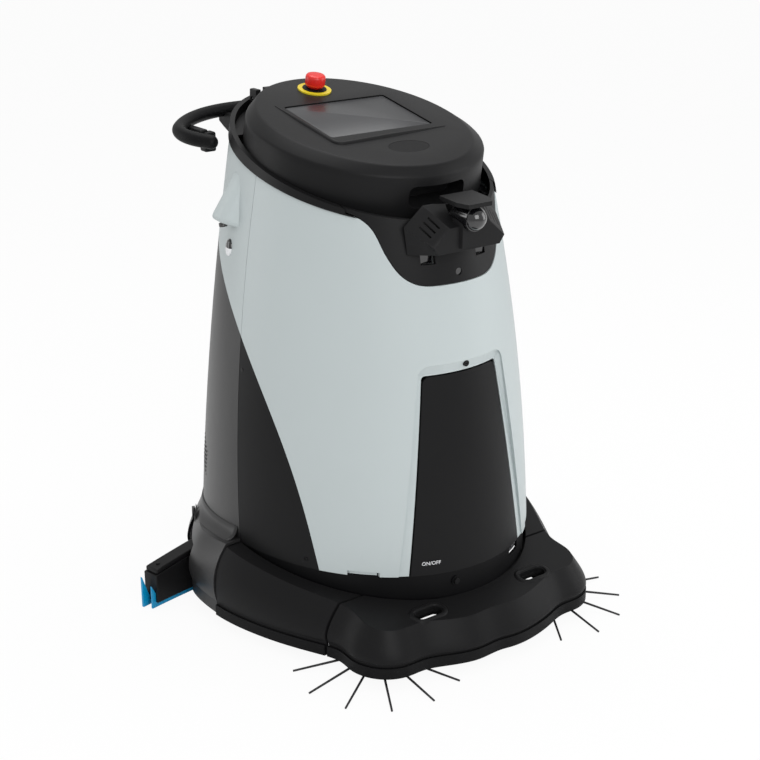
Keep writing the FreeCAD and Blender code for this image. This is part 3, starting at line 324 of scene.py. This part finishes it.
# ------------------------------------------------------------------ the machine's own geometry, metres
# These repeat the construction's values, which a scene can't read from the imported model.
LID_Y, LID_Z, LID_TILT = 0.023, 0.975, math.radians(11.6)
BODY_BOTTOM, BODY_RISE = 0.167, 0.785
BODY_HALF_WIDTH, BODY_HALF_DEPTH, BODY_FRONT = 0.317, 0.383, -0.3487
WIDTH_LINEAR, WIDTH_SQUARE = 0.0048, 0.0888
DEPTH_LINEAR = 0.0976
FRONT_LINEAR, FRONT_SQUARE = 0.0727, 0.0414


def lid_point(x, v, w):
    """A point in the lid's own plane: across, up the slope, above the surface."""
    c, k = math.cos(LID_TILT), math.sin(LID_TILT)
    return Vector((x, LID_Y + v * c - w * k, LID_Z + v * k + w * c))


def prism(points, low, high):
    """Closed mesh between two heights over an outline in the lid's own plane."""
    bm = bmesh.new()
    skin_loops(bm, [loop_of(bm, [lid_point(x, v, w) for x, v in points]) for w in (low, high)])
    return bm


def section(z):
    """Half width, half depth and centre of the body's ellipse at height z."""
    t = (z - BODY_BOTTOM) / BODY_RISE
    a = BODY_HALF_WIDTH - WIDTH_LINEAR * t - WIDTH_SQUARE * t * t
    b = BODY_HALF_DEPTH - DEPTH_LINEAR * t
    front = BODY_FRONT + FRONT_LINEAR * t + FRONT_SQUARE * t * t
    return a, b, front + b


def body_point(angle, z, out=0.0):
    """A point on the body at a bearing (0 is the left side, anticlockwise), moved outwards."""
    a, b, yc = section(z)
    return Vector(((a + out) * math.cos(angle), yc + (b + out) * math.sin(angle), z))


def bearing_at(y, z, side):
    """The bearing at which the body's skin has a given y, on the left (1) or the right (-1)."""
    a, b, yc = section(z)
    angle = math.asin((y - yc) / b)
    return angle if side > 0 else math.pi - angle


# ------------------------------------------------------------------ pieces on the lid
STOP_X, STOP_V = -0.002, 0.168
# Profiles as (radius, height above the lid)
STOP_HEAD = [(0.0095, -0.02), (0.0095, 0.006), (0.0165, 0.0075), (0.0195, 0.011), (0.0203, 0.013),
             (0.0203, 0.026), (0.0196, 0.0295), (0.0175, 0.0318), (0.0145, 0.0328), (0.008, 0.0334),
             (0.001, 0.0336)]
STOP_COLLAR = [(0.0245, 0.0005), (0.0245, 0.0042), (0.0225, 0.0052), (0.0135, 0.0052), (0.0125, 0.004),
               (0.0125, 0.0005)]


def make_stop_button():
    """Red mushroom head with a soft shoulder on a narrower neck, and the collar inside the yellow ring."""
    def place(x, y, h):
        return lid_point(STOP_X + x, STOP_V + y, h)
    bm = bmesh.new()
    revolve(bm, STOP_HEAD, place)
    head = finish_piece("stop_head", bm, "stop_red", "stop_button")
    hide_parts("stop_button")
    bm = bmesh.new()
    revolve(bm, STOP_COLLAR, place)
    finish_piece("stop_collar", bm, "soft_black", "lid")


SCREEN_CENTRE, SCREEN_W, SCREEN_L, SCREEN_SUNK = (0.002, 0.020), 0.236, 0.162, 0.0022
SCREEN_CORNER, SCREEN_BASE, SCREEN_CHAMFER = 0.005, -0.0044, (0.0012, 0.0008)
BED_CLEAR, BED_CORNER, BED_FLOOR = 0.0022, 0.006, -0.0045
HOLE_HEIGHT, HOLE_HALF_WIDTH, HOLE_HALF_HEIGHT, HOLE_CORNER = -0.0555, 0.064, 0.0205, 0.014
HOLE_REACH = (-0.300, -0.199)        # from outside the drum to the hole's back wall
OVAL_CENTRE, OVAL_SIZE, OVAL_FLOOR = (0.0, -0.147), (0.044, 0.027), -0.0009
WINDOW_SHARE, WINDOW_HEIGHTS = 0.985, (-0.0012, -0.0003)
CUTTER_TOP = 0.01                    # cutters stand this far above the lid
LID_TURNS, OVAL_TURNS = 128, 48
LID_EDGE = 0.0018
# The lid's rings from its foot to its top: half width, half depth, shift up the slope, height
LID_RINGS = [(0.2285, 0.2465, -0.008, -0.0955), (0.2262, 0.2442, -0.008, -0.030),
             (0.2258, 0.2438, -0.008, -0.0195), (0.2245, 0.2428, -0.0078, -0.0165),
             (0.2215, 0.2415, -0.0070, -0.0140), (0.2020, 0.2375, -0.0018, -0.0026),
             (0.1985, 0.2360, -0.0008, -0.0008), (0.1945, 0.2335, 0.0, 0.0)]


def rounded_rectangle(cx, cv, half_x, half_v, r, steps=5):
    """Outline of a rectangle with round corners, about a centre."""
    corners = []
    for sx, sv, start in ((1, 1, 0), (-1, 1, 90), (-1, -1, 180), (1, -1, 270)):
        for i in range(steps):
            a = math.radians(start + 90 * i / (steps - 1))
            x, v = cx + sx * (half_x - r), cv + sv * (half_v - r)
            corners.append((x + r * math.cos(a), v + r * math.sin(a)))
    return corners


def cut_with(piece, cutter):
    """Cuts one closed mesh out of another for good, and drops the cutter."""
    cut = piece.modifiers.new("cut", "BOOLEAN")
    cut.operation = "DIFFERENCE"
    cut.solver = "EXACT"
    cut.object = cutter
    bpy.context.view_layer.update()
    evaluated = piece.evaluated_get(bpy.context.evaluated_depsgraph_get())
    mesh = bpy.data.meshes.new_from_object(evaluated)
    piece.modifiers.clear()
    piece.data = mesh
    bpy.data.objects.remove(cutter)


def make_lid_body(oval):
    """The drum with its rounded shoulder, cut for the screen, the hand and the oval."""
    bm = bmesh.new()
    loops = []
    for a, b, v, w in LID_RINGS:
        ring = circle_angles(LID_TURNS)
        loops.append(loop_of(bm, [lid_point(a * math.cos(t), v + b * math.sin(t), w) for t in ring]))
    skin_loops(bm, loops)
    lid = loose_object("lid_shell", bm)
    bed = rounded_rectangle(*SCREEN_CENTRE, SCREEN_W / 2 + BED_CLEAR, SCREEN_L / 2 + BED_CLEAR, BED_CORNER)
    cut_with(lid, loose_object("bed", prism(bed, BED_FLOOR, CUTTER_TOP)))
    bm = bmesh.new()
    hole = rounded_rectangle(0.0, HOLE_HEIGHT, HOLE_HALF_WIDTH, HOLE_HALF_HEIGHT, HOLE_CORNER, 7)
    skin_loops(bm, [loop_of(bm, [lid_point(x, v, w) for x, w in hole]) for v in HOLE_REACH])
    cut_with(lid, loose_object("hole", bm))
    cut_with(lid, loose_object("oval", prism(oval, OVAL_FLOOR, CUTTER_TOP)))
    lid.data.materials.clear()
    lid.data.materials.append(FINISHES["lid"])
    round_edge(lid, LID_EDGE, 3, LID_EDGE_ANGLE)
    shade_smooth(lid, LID_EDGE_ANGLE)
    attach(lid, "lid")
    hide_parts("lid_cover")


def make_lid():
    """Lid: an oval drum with a sunk screen, a hand hole and a dark window in a shallow oval."""
    cx, cv = OVAL_CENTRE
    half_x, half_v = OVAL_SIZE
    oval = [(cx + half_x * math.cos(t), cv + half_v * math.sin(t)) for t in circle_angles(OVAL_TURNS)]
    make_lid_body(oval)
    bm = bmesh.new()
    loops = []
    inset, drop = SCREEN_CHAMFER
    for grow, w in ((0.0, SCREEN_BASE), (0.0, -SCREEN_SUNK), (-inset, -SCREEN_SUNK + drop)):
        outline = rounded_rectangle(*SCREEN_CENTRE, SCREEN_W / 2 + grow, SCREEN_L / 2 + grow, SCREEN_CORNER)
        loops.append(loop_of(bm, [lid_point(x, v, w) for x, v in outline]))
    skin_loops(bm, loops)
    screen = finish_piece("screen_glass", bm, "screen", "lid")
    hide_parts("touchscreen")
    window = [(x * WINDOW_SHARE, cv + (v - cv) * WINDOW_SHARE) for x, v in oval]
    finish_piece("reader_window", prism(window, *WINDOW_HEIGHTS), "soft_black", "lid")


LIP_CORNER = (-0.112, -0.0805)
LIP_CORNER_R = 0.016
LIP_HALF, LIP_HIGH, LIP_SHOULDER, LIP_FOOT, LIP_SUNK = 0.0052, 0.0042, (0.55, 0.8), 0.0004, -0.001
LIP_END_SHARE = 0.25                 # the lip thins to this share at its ends


def make_lip():
    """Raised lip beside and below the screen, low and wide, with rounded ends and corner."""
    path = [(-0.131, 0.112), (-0.1295, 0.02), (-0.128, -0.078)]
    for i in range(7):
        a = math.radians(180 + 15 * i)
        path.append((LIP_CORNER[0] + LIP_CORNER_R * math.cos(a), LIP_CORNER[1] + LIP_CORNER_R * math.sin(a)))
    path += [(0.0, -0.0905), (0.136, -0.0835)]
    bm = bmesh.new()
    out, up = LIP_SHOULDER
    right = [(LIP_HALF * out, LIP_HIGH * up), (LIP_HALF, LIP_FOOT), (LIP_HALF, LIP_SUNK)]
    shape = [(-s, w) for s, w in reversed(right)] + [(0.0, LIP_HIGH)] + right
    loops = []
    for i, (x, v) in enumerate(path):
        before, after = path[max(i - 1, 0)], path[min(i + 1, len(path) - 1)]
        along = Vector((after[0] - before[0], after[1] - before[1])).normalized()
        across = Vector((along.y, -along.x))
        grow = LIP_END_SHARE if i in (0, len(path) - 1) else 1.0
        points = []
        for s, w in shape:
            height = w if w < 0 else w * grow
            points.append(lid_point(x + across.x * s * grow, v + across.y * s * grow, height))
        loops.append(loop_of(bm, points))
    skin_loops(bm, loops)
    finish_piece("lid_lip", bm, "charcoal", "lid", finish="lid")


# ------------------------------------------------------------------ pieces on the body
LAMP_Y, LAMP_Z = 0.110, 0.742
LAMP_HALF_WIDTH, LAMP_HALF_HEIGHT, LAMP_STEPS = 0.0125, 0.0165, 24
LAMP_LAYERS = ((1.0, -0.002), (1.0, 0.0015), (0.86, 0.004), (0.5, 0.0055))     # (share, outwards)


def make_lamps():
    """Oval flank lamps: a dark upper half over a white lens."""
    for side, name in ((-1, "right"), (1, "left")):
        for part, slot, sign in (("upper", "lens", 1), ("lower", "lamp", -1)):
            bm = bmesh.new()
            loops = []
            for scale, out in LAMP_LAYERS:
                points = []
                for i in range(LAMP_STEPS + 1):
                    a = math.pi * i / LAMP_STEPS
                    dy = LAMP_HALF_WIDTH * scale * math.cos(a)
                    z = LAMP_Z + sign * LAMP_HALF_HEIGHT * scale * math.sin(a)
                    points.append(body_point(bearing_at(LAMP_Y + dy, z, side), z, out))
                loops.append(loop_of(bm, points))
            skin_loops(bm, loops)
            lamp = finish_piece("lamp_" + part + "_" + name, bm, slot, "chassis")
            if side < 0 and sign < 0:
                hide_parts("side_lamps")


SLOT_X, SLOT_Y, SLOT_HALF, SLOT_R = 0.132, -0.360, 0.018, 0.012
# Rings of a rim as (outwards from the slot's edge, above the bumper)
RIM_RINGS = ((0.0006, -0.018), (0.0006, -0.001), (0.003, 0.0025), (0.007, 0.0030), (0.011, 0.0005),
             (0.014, -0.006))
RIM_THICKNESS = 0.0008
RAY_FROM = 0.5                       # rays are cast down from here
BUMPER_LEAST = 0.085                 # a lower hit is the slot's inside, not the upper face
BUMPER_TOP, BUMPER_FALL = 0.118, 0.15            # upper face at the slots' y, and its slope along y


def make_slot_rims():
    """Raised oval rims round the bumper's two finger slots, falling away to the bumper's skin."""
    for side, name in ((-1, "right"), (1, "left")):
        bm = bmesh.new()
        loops = []
        for grow, lift in RIM_RINGS:
            ring = []
            for x, y in oval_points(SLOT_HALF, SLOT_R + grow):
                px, py = side * SLOT_X + x, SLOT_Y + y
                ring.append(Vector((px, py, bumper_height(px, py) + lift)))
            loops.append(loop_of(bm, ring))
        skin_loops(bm, loops, False, False)
        rim = finish_piece("slot_rim_" + name, bm, "charcoal", "front_bumper")
        thickness = rim.modifiers.new("thickness", "SOLIDIFY")
        thickness.thickness = RIM_THICKNESS


def bumper_height(x, y):
    """Height of the bumper's upper face, or of its sloping plane where a ray finds no upper face."""
    bumper = frame["nodes"]["front_bumper"]
    hit, place, _, _ = bumper.ray_cast(Vector((x, y, RAY_FROM)), Vector((0, 0, -1)))
    if hit and place.z > BUMPER_LEAST:
        return place.z
    return BUMPER_TOP + BUMPER_FALL * (y - SLOT_Y)


# Corners of a pod: its foot as (x, y) in a sloping plane, its head as (x, y, z)
POD_FOOT = [(0.222, 0.054), (0.222, 0.152), (0.289, 0.134), (0.288, 0.096)]
POD_HEAD = [(0.208, 0.084, 0.893), (0.200, 0.140, 0.893), (0.226, 0.134, 0.889), (0.231, 0.100, 0.889)]
POD_FOOT_X, POD_FOOT_Z, POD_SLOPE_OUT, POD_SLOPE_BACK = 0.225, 0.772, 0.33, 0.1
POD_ROUNDING = 0.011
POD_CAMERA, POD_CAMERA_AXIS = (0.268, 0.114, 0.7895), (0.30, -0.10, -0.95)
POD_CAMERA_PROFILE = [(0.0085, 0.0), (0.0085, 0.0035), (0.0072, 0.0045), (0.0062, 0.0030), (0.003, 0.0036),
                      (0.0005, 0.0038)]


def make_side_pods():
    """Camera housings on the flanks: wedges with large rounded edges and a round camera underneath."""
    for side, name in ((-1, "right"), (1, "left")):
        bm = bmesh.new()
        low = []
        for x, y in POD_FOOT:
            z = POD_FOOT_Z + POD_SLOPE_OUT * (x - POD_FOOT_X) + POD_SLOPE_BACK * (y - POD_FOOT[0][1])
            low.append(Vector((side * x, y, z)))
        high = [Vector((side * x, y, z)) for x, y, z in POD_HEAD]
        skin_loops(bm, [loop_of(bm, low), loop_of(bm, high)])
        pod = finish_piece("camera_pod_" + name, bm, "shell_grey", "chassis", bevel=POD_ROUNDING, segments=6)
        pod.data.set_sharp_from_angle(angle=math.pi)
        if side < 0:
            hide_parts("side_pods")
        bm = bmesh.new()
        x, y, z = POD_CAMERA
        centre = Vector((side * x, y, z))
        x, y, z = POD_CAMERA_AXIS
        down = Vector((side * x, y, z)).normalized()
        u = down.cross(Vector((0, 1, 0))).normalized()
        w = down.cross(u)
        revolve(bm, POD_CAMERA_PROFILE, lambda x, y, h: centre + u * x + w * y + down * h, 28)
        finish_piece("pod_camera_" + name, bm, "lens", "chassis")


FLANGE_RAY_FROM = 0.4


def surface_below(node, x, y, fallback):
    """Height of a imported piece's top at a place, seen from above."""
    hit, place, _, _ = frame["nodes"][node].ray_cast(Vector((x, y, FLANGE_RAY_FROM)), Vector((0, 0, -1)))
    return place.z if hit else fallback


FILLET_R, FILLET_LIFT, FILLET_THICKNESS = 0.024, 0.0006, 0.0006
FILLET_START = (0.020, 0.175)        # (y, z) where it begins on each flank
FILLET_FOOT = (0.160, 0.004)         # (z, outwards) of the place over which the flange is found
FILLET_STEPS, FILLET_ARC = 96, 8
FILLET_GAP = 0.0004                  # clear of the cover's skin
FLANGE_TOP = 0.15                    # where a ray finds no flange


def make_cover_fillet():
    """Hollow moulded curve where the rear cover runs out into the base flange, all round the back."""
    bm = bmesh.new()
    rows = []
    start = bearing_at(*FILLET_START, 1)
    end = math.pi - start
    for i in range(FILLET_STEPS + 1):
        angle = start + (end - start) * i / FILLET_STEPS
        base = body_point(angle, *FILLET_FOOT)
        flange_z = surface_below("rear_flange", base.x, base.y, FLANGE_TOP)
        row = []
        for k in range(FILLET_ARC + 1):
            d = FILLET_R * k / FILLET_ARC
            rise = FILLET_R - math.sqrt(max(0.0, FILLET_R ** 2 - (FILLET_R - d) ** 2))
            p = body_point(angle, flange_z, d + FILLET_GAP)
            z = surface_below("rear_flange", p.x, p.y, flange_z) if k > 0 else flange_z
            row.append(Vector((p.x, p.y, z + rise + FILLET_LIFT)))
        rows.append(loop_of(bm, row))
    for a, b in zip(rows, rows[1:]):
        for k in range(FILLET_ARC):
            bm.faces.new((a[k], a[k + 1], b[k + 1], b[k]))
    fillet = finish_piece("cover_fillet", bm, "charcoal", "chassis", finish="cover")
    fillet.data.set_sharp_from_angle(angle=math.pi)
    thickness = fillet.modifiers.new("thickness", "SOLIDIFY")
    thickness.thickness = FILLET_THICKNESS
    thickness.offset = -1


SHADE_SHEET_STEPS = 64
SHADE_SHEET_MARGIN = 0.04                  # share of the half turn that is left out at each end
# The painted shade sheet's section as (outwards from the body's foot, height)
SHADE_SHEET_SECTION = ((-0.010, 0.1135), (0.012, 0.1015), (0.012, 0.0995), (-0.010, 0.1115))


def make_gap_shade():
    """Dark sheet of painted shade, open at its two ends, that closes the gap between neck and bumper from
    below where that gap lies in shadow.
    """
    bm = bmesh.new()
    a, b, yc = section(BODY_BOTTOM)
    loops = []
    span = 1 - 2 * SHADE_SHEET_MARGIN
    ring = [math.pi + math.pi * (SHADE_SHEET_MARGIN + span * i / SHADE_SHEET_STEPS) for i in range(SHADE_SHEET_STEPS + 1)]
    for grow, z in SHADE_SHEET_SECTION:
        points = [Vector(((a + grow) * math.cos(t), yc + (b + grow) * math.sin(t), z)) for t in ring]
        loops.append(loop_of(bm, points))
    for first, second in zip(loops, loops[1:] + loops[:1]):
        for i in range(SHADE_SHEET_STEPS):
            bm.faces.new((first[i], first[i + 1], second[i + 1], second[i]))
    finish_piece("gap_shade_sheet", bm, "soft_black", "chassis")


SQUEEGEE_MID_Y, SQUEEGEE_END_Y, SQUEEGEE_HALF = 0.205, 0.152, 0.459
SQUEEGEE_TOP, SQUEEGEE_DROP, SLOPE_START, SLOPE_LENGTH = 0.102, 0.016, 0.33, 0.115
HOUSING_HALF, HOUSING_FACES, HOUSING_FOOT = 0.446, (-0.018, 0.020), 0.013
CAP_HALF, CAP_FACES, CAP_DEPTH, CAP_GAP = 0.443, (-0.016, 0.018), 0.0102, 0.0008
# Blades as (half length, faces, half length below the housing, height outside it)
BLADES = ((0.455, (-0.012, -0.008), 0.446, 0.052), (0.462, (0.0075, 0.0125), 0.4455, 0.070))
BLADE_FOOT, BLADE_UNDER = 0.002, 0.0128
CAP_SCREW = (0.425, 0.001)           # along and across the arch
CAP_SCREW_PROFILE = [(0.0045, -0.004), (0.0045, 0.0008), (0.0035, 0.0016), (0.0006, 0.0016)]


def arc_frame(x, offset):
    """A point on the squeegee's arch at x, moved backwards by offset."""
    sag = SQUEEGEE_MID_Y - SQUEEGEE_END_Y
    radius = (SQUEEGEE_HALF ** 2 + sag ** 2) / (2 * sag)
    angle = math.asin(x / radius)
    r = radius + offset
    return r * math.sin(angle), SQUEEGEE_MID_Y - radius + r * math.cos(angle)


def arched_bar(bm, half, near, far, low, high, steps=48):
    """Bar along the arch; low and high give its heights at each x."""
    loops = []
    for i in range(steps + 1):
        x = -half + 2 * half * i / steps
        corners = [(near, low(x)), (far, low(x)), (far, high(x)), (near, high(x))]
        loops.append(loop_of(bm, [Vector((*arc_frame(x, d), z)) for d, z in corners]))
    skin_loops(bm, loops)


def squeegee_top(x):
    """Height of the squeegee's top, level in the middle and sloping down to the ends."""
    return SQUEEGEE_TOP - SQUEEGEE_DROP * max(0.0, (abs(x) - SLOPE_START) / SLOPE_LENGTH)


def make_squeegee():
    """Squeegee: a sloped housing with a separate top cap and end screws, and blue blades under it."""
    bm = bmesh.new()
    under_cap = CAP_DEPTH + CAP_GAP
    arched_bar(bm, HOUSING_HALF, *HOUSING_FACES,
               lambda x: HOUSING_FOOT, lambda x: squeegee_top(x) - under_cap)
    housing = finish_piece("squeegee_body", bm, "black_plastic", "squeegee", bevel=0.0015)
    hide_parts("squeegee_housing")
    bm = bmesh.new()
    arched_bar(bm, CAP_HALF, *CAP_FACES, lambda x: squeegee_top(x) - CAP_DEPTH, squeegee_top)
    finish_piece("squeegee_cap", bm, "black_plastic", "squeegee", bevel=0.003)
    bm = bmesh.new()
    for half, faces, covered, end_top in BLADES:
        arched_bar(bm, half, *faces,
                   lambda x: BLADE_FOOT, lambda x: BLADE_UNDER if abs(x) < covered else end_top)
    blades = finish_piece("squeegee_blade_pair", bm, "blade_blue", "squeegee")
    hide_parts("squeegee_blades")
    along, across = CAP_SCREW
    for side, name in ((-1, "right"), (1, "left")):
        bm = bmesh.new()
        x, y = arc_frame(side * along, across)
        z = squeegee_top(along)
        revolve(bm, CAP_SCREW_PROFILE, lambda dx, dy, h: Vector((x + dx, y + dy, z + h)), 20)
        finish_piece("cap_screw_" + name, bm, "soft_black", "squeegee")


TAB_X, TAB_SECTION_Z = (0.186, 0.196, 0.206, 0.216, 0.226), 0.170
# The tab's section as (inwards from the body's skin, height)
TAB_SECTION = ((0.0065, 0.169), (0.0065, 0.1775), (0.0042, 0.1775), (0.0042, 0.169))


def make_notch_tabs():
    """Grey tab of the shell's lining that shows inside the notch at its foot."""
    for side, name in ((-1, "right"), (1, "left")):
        bm = bmesh.new()
        rows = []
        a, b, yc = section(TAB_SECTION_Z)
        for x in TAB_X:
            row = []
            for inset, z in TAB_SECTION:
                y = yc - (b - inset) * math.sqrt(1 - (x / (a - inset)) ** 2)
                row.append(Vector((side * x, y, z)))
            rows.append(loop_of(bm, row))
        skin_loops(bm, rows)
        finish_piece("notch_tab_" + name, bm, "shell_grey", "chassis")


VENT_LOW, VENT_HIGH, VENT_Y = 0.262, 0.318, 0.236
VENT_COLUMNS, VENT_ROWS = 5, 13
COLUMN_STEP, COLUMN_FALL = 0.0105, 0.0055        # columns run forwards and step down
ROW_LEAN, ROW_STAGGER = 0.0009, 0.0052
HOLE_R, HOLE_SIDES, HOLE_LAYERS = 0.0019, 10, (-0.001, 0.0004)


def make_vent():
    """Perforated patch on the rear cover: small dark discs that stand for its round holes, their darkness
    painted shade of the holes' insides.
    """
    bm = bmesh.new()
    for i in range(VENT_COLUMNS):
        for j in range(VENT_ROWS):
            z = VENT_LOW + (VENT_HIGH - VENT_LOW) * j / (VENT_ROWS - 1) - COLUMN_FALL * i
            y = VENT_Y - COLUMN_STEP * i - ROW_LEAN * j + (ROW_STAGGER if j % 2 else 0.0)
            ring = []
            for a in circle_angles(HOLE_SIDES):
                height = z + HOLE_R * math.sin(a)
                ring.append((bearing_at(y + HOLE_R * math.cos(a), height, -1), height))
            layers = []
            for out in HOLE_LAYERS:
                layers.append(loop_of(bm, [body_point(bearing, height, out) for bearing, height in ring]))
            skin_loops(bm, layers)
    finish_piece("vent_holes", bm, "soft_black", "chassis")


LABEL_X, LABEL_Z, LABEL_SIZE, LABEL_THICKNESS = -0.098, 0.187, 0.0105, 0.0002
LABEL_SKIN, LABEL_LIFT = 0.003, 0.0006           # the door's depth in its recess there, and clear of it


def make_label():
    """Plain switch marking at the foot of the door."""
    text = bpy.data.curves.new("switch_mark", "FONT")
    text.body = "ON/OFF"
    text.size = LABEL_SIZE
    text.extrude = LABEL_THICKNESS
    text.align_x = "CENTER"
    text.materials.append(MATERIALS["lamp"])
    mark = bpy.data.objects.new("switch_mark", text)
    a, b, yc = section(LABEL_Z)
    y = yc - (b - LABEL_SKIN) * math.sqrt(1 - (LABEL_X / (a - LABEL_SKIN)) ** 2)
    normal = Vector((LABEL_X / a ** 2, (y - yc) / b ** 2, 0)).normalized()
    mark.location = Vector((LABEL_X, y, LABEL_Z)) + normal * LABEL_LIFT
    mark.rotation_euler = (math.radians(90), 0, math.atan2(normal.x, -normal.y))
    bpy.context.scene.collection.objects.link(mark)
    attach(mark, "service_door")


# Blocks of a latch as (centre, size)
LATCH_BLOCKS = (((0.186, 0.345, 0.915), (0.020, 0.060, 0.030)),
                ((0.176, 0.318, 0.905), (0.026, 0.024, 0.040)))


def make_handle_latch():
    """Latch under the bar on each side: two rounded blocks."""
    for side, name in ((-1, "right"), (1, "left")):
        bm = bmesh.new()
        for (x, y, z), size in LATCH_BLOCKS:
            made = bmesh.ops.create_cube(bm, size=1.0)
            bmesh.ops.scale(bm, vec=size, verts=made["verts"])
            bmesh.ops.translate(bm, vec=(side * x, y, z), verts=made["verts"])
        finish_piece("handle_latch_" + name, bm, "black_plastic", "chassis", bevel=0.004)


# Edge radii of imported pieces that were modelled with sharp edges
EDGE_RADII = (("sensor_pod", 0.0016), ("handle_bracket", 0.003), ("rear_deck", 0.001))
FACET_ANGLE = math.radians(28)
WELD_REACH = 0.00002


def round_edges():
    """Moulded edge radii on the faceted pieces."""
    for name, width in EDGE_RADII:
        piece = frame["nodes"][name]
        weld = piece.modifiers.new("weld", "WELD")
        weld.merge_threshold = WELD_REACH
        round_edge(piece, width, 4, FACET_ANGLE)


make_camera()
paint_nodes()
make_stage()
make_stop_button()
make_lid()
make_lip()
make_side_pods()
make_cover_fillet()
make_gap_shade()
make_squeegee()
make_notch_tabs()
make_lamps()
make_slot_rims()
make_vent()
make_label()
make_handle_latch()
round_edges()
area_light("key", (-0.9, -3.3, 2.4), (0, 0, 0.5), (2.2, 2.2), 50)
area_light("top", (0.3, 0.6, 3.4), (0, 0, 0.8), (2.0, 2.0), 34)
area_light("rim", (-2.6, 2.6, 1.2), (0, 0.2, 0.5), (0.9, 2.6), 15)
area_light("fill", (2.6, -1.6, 1.4), (0, 0, 0.5), (1.6, 2.2), 19)
bpy.context.scene.view_settings.view_transform = "Standard"
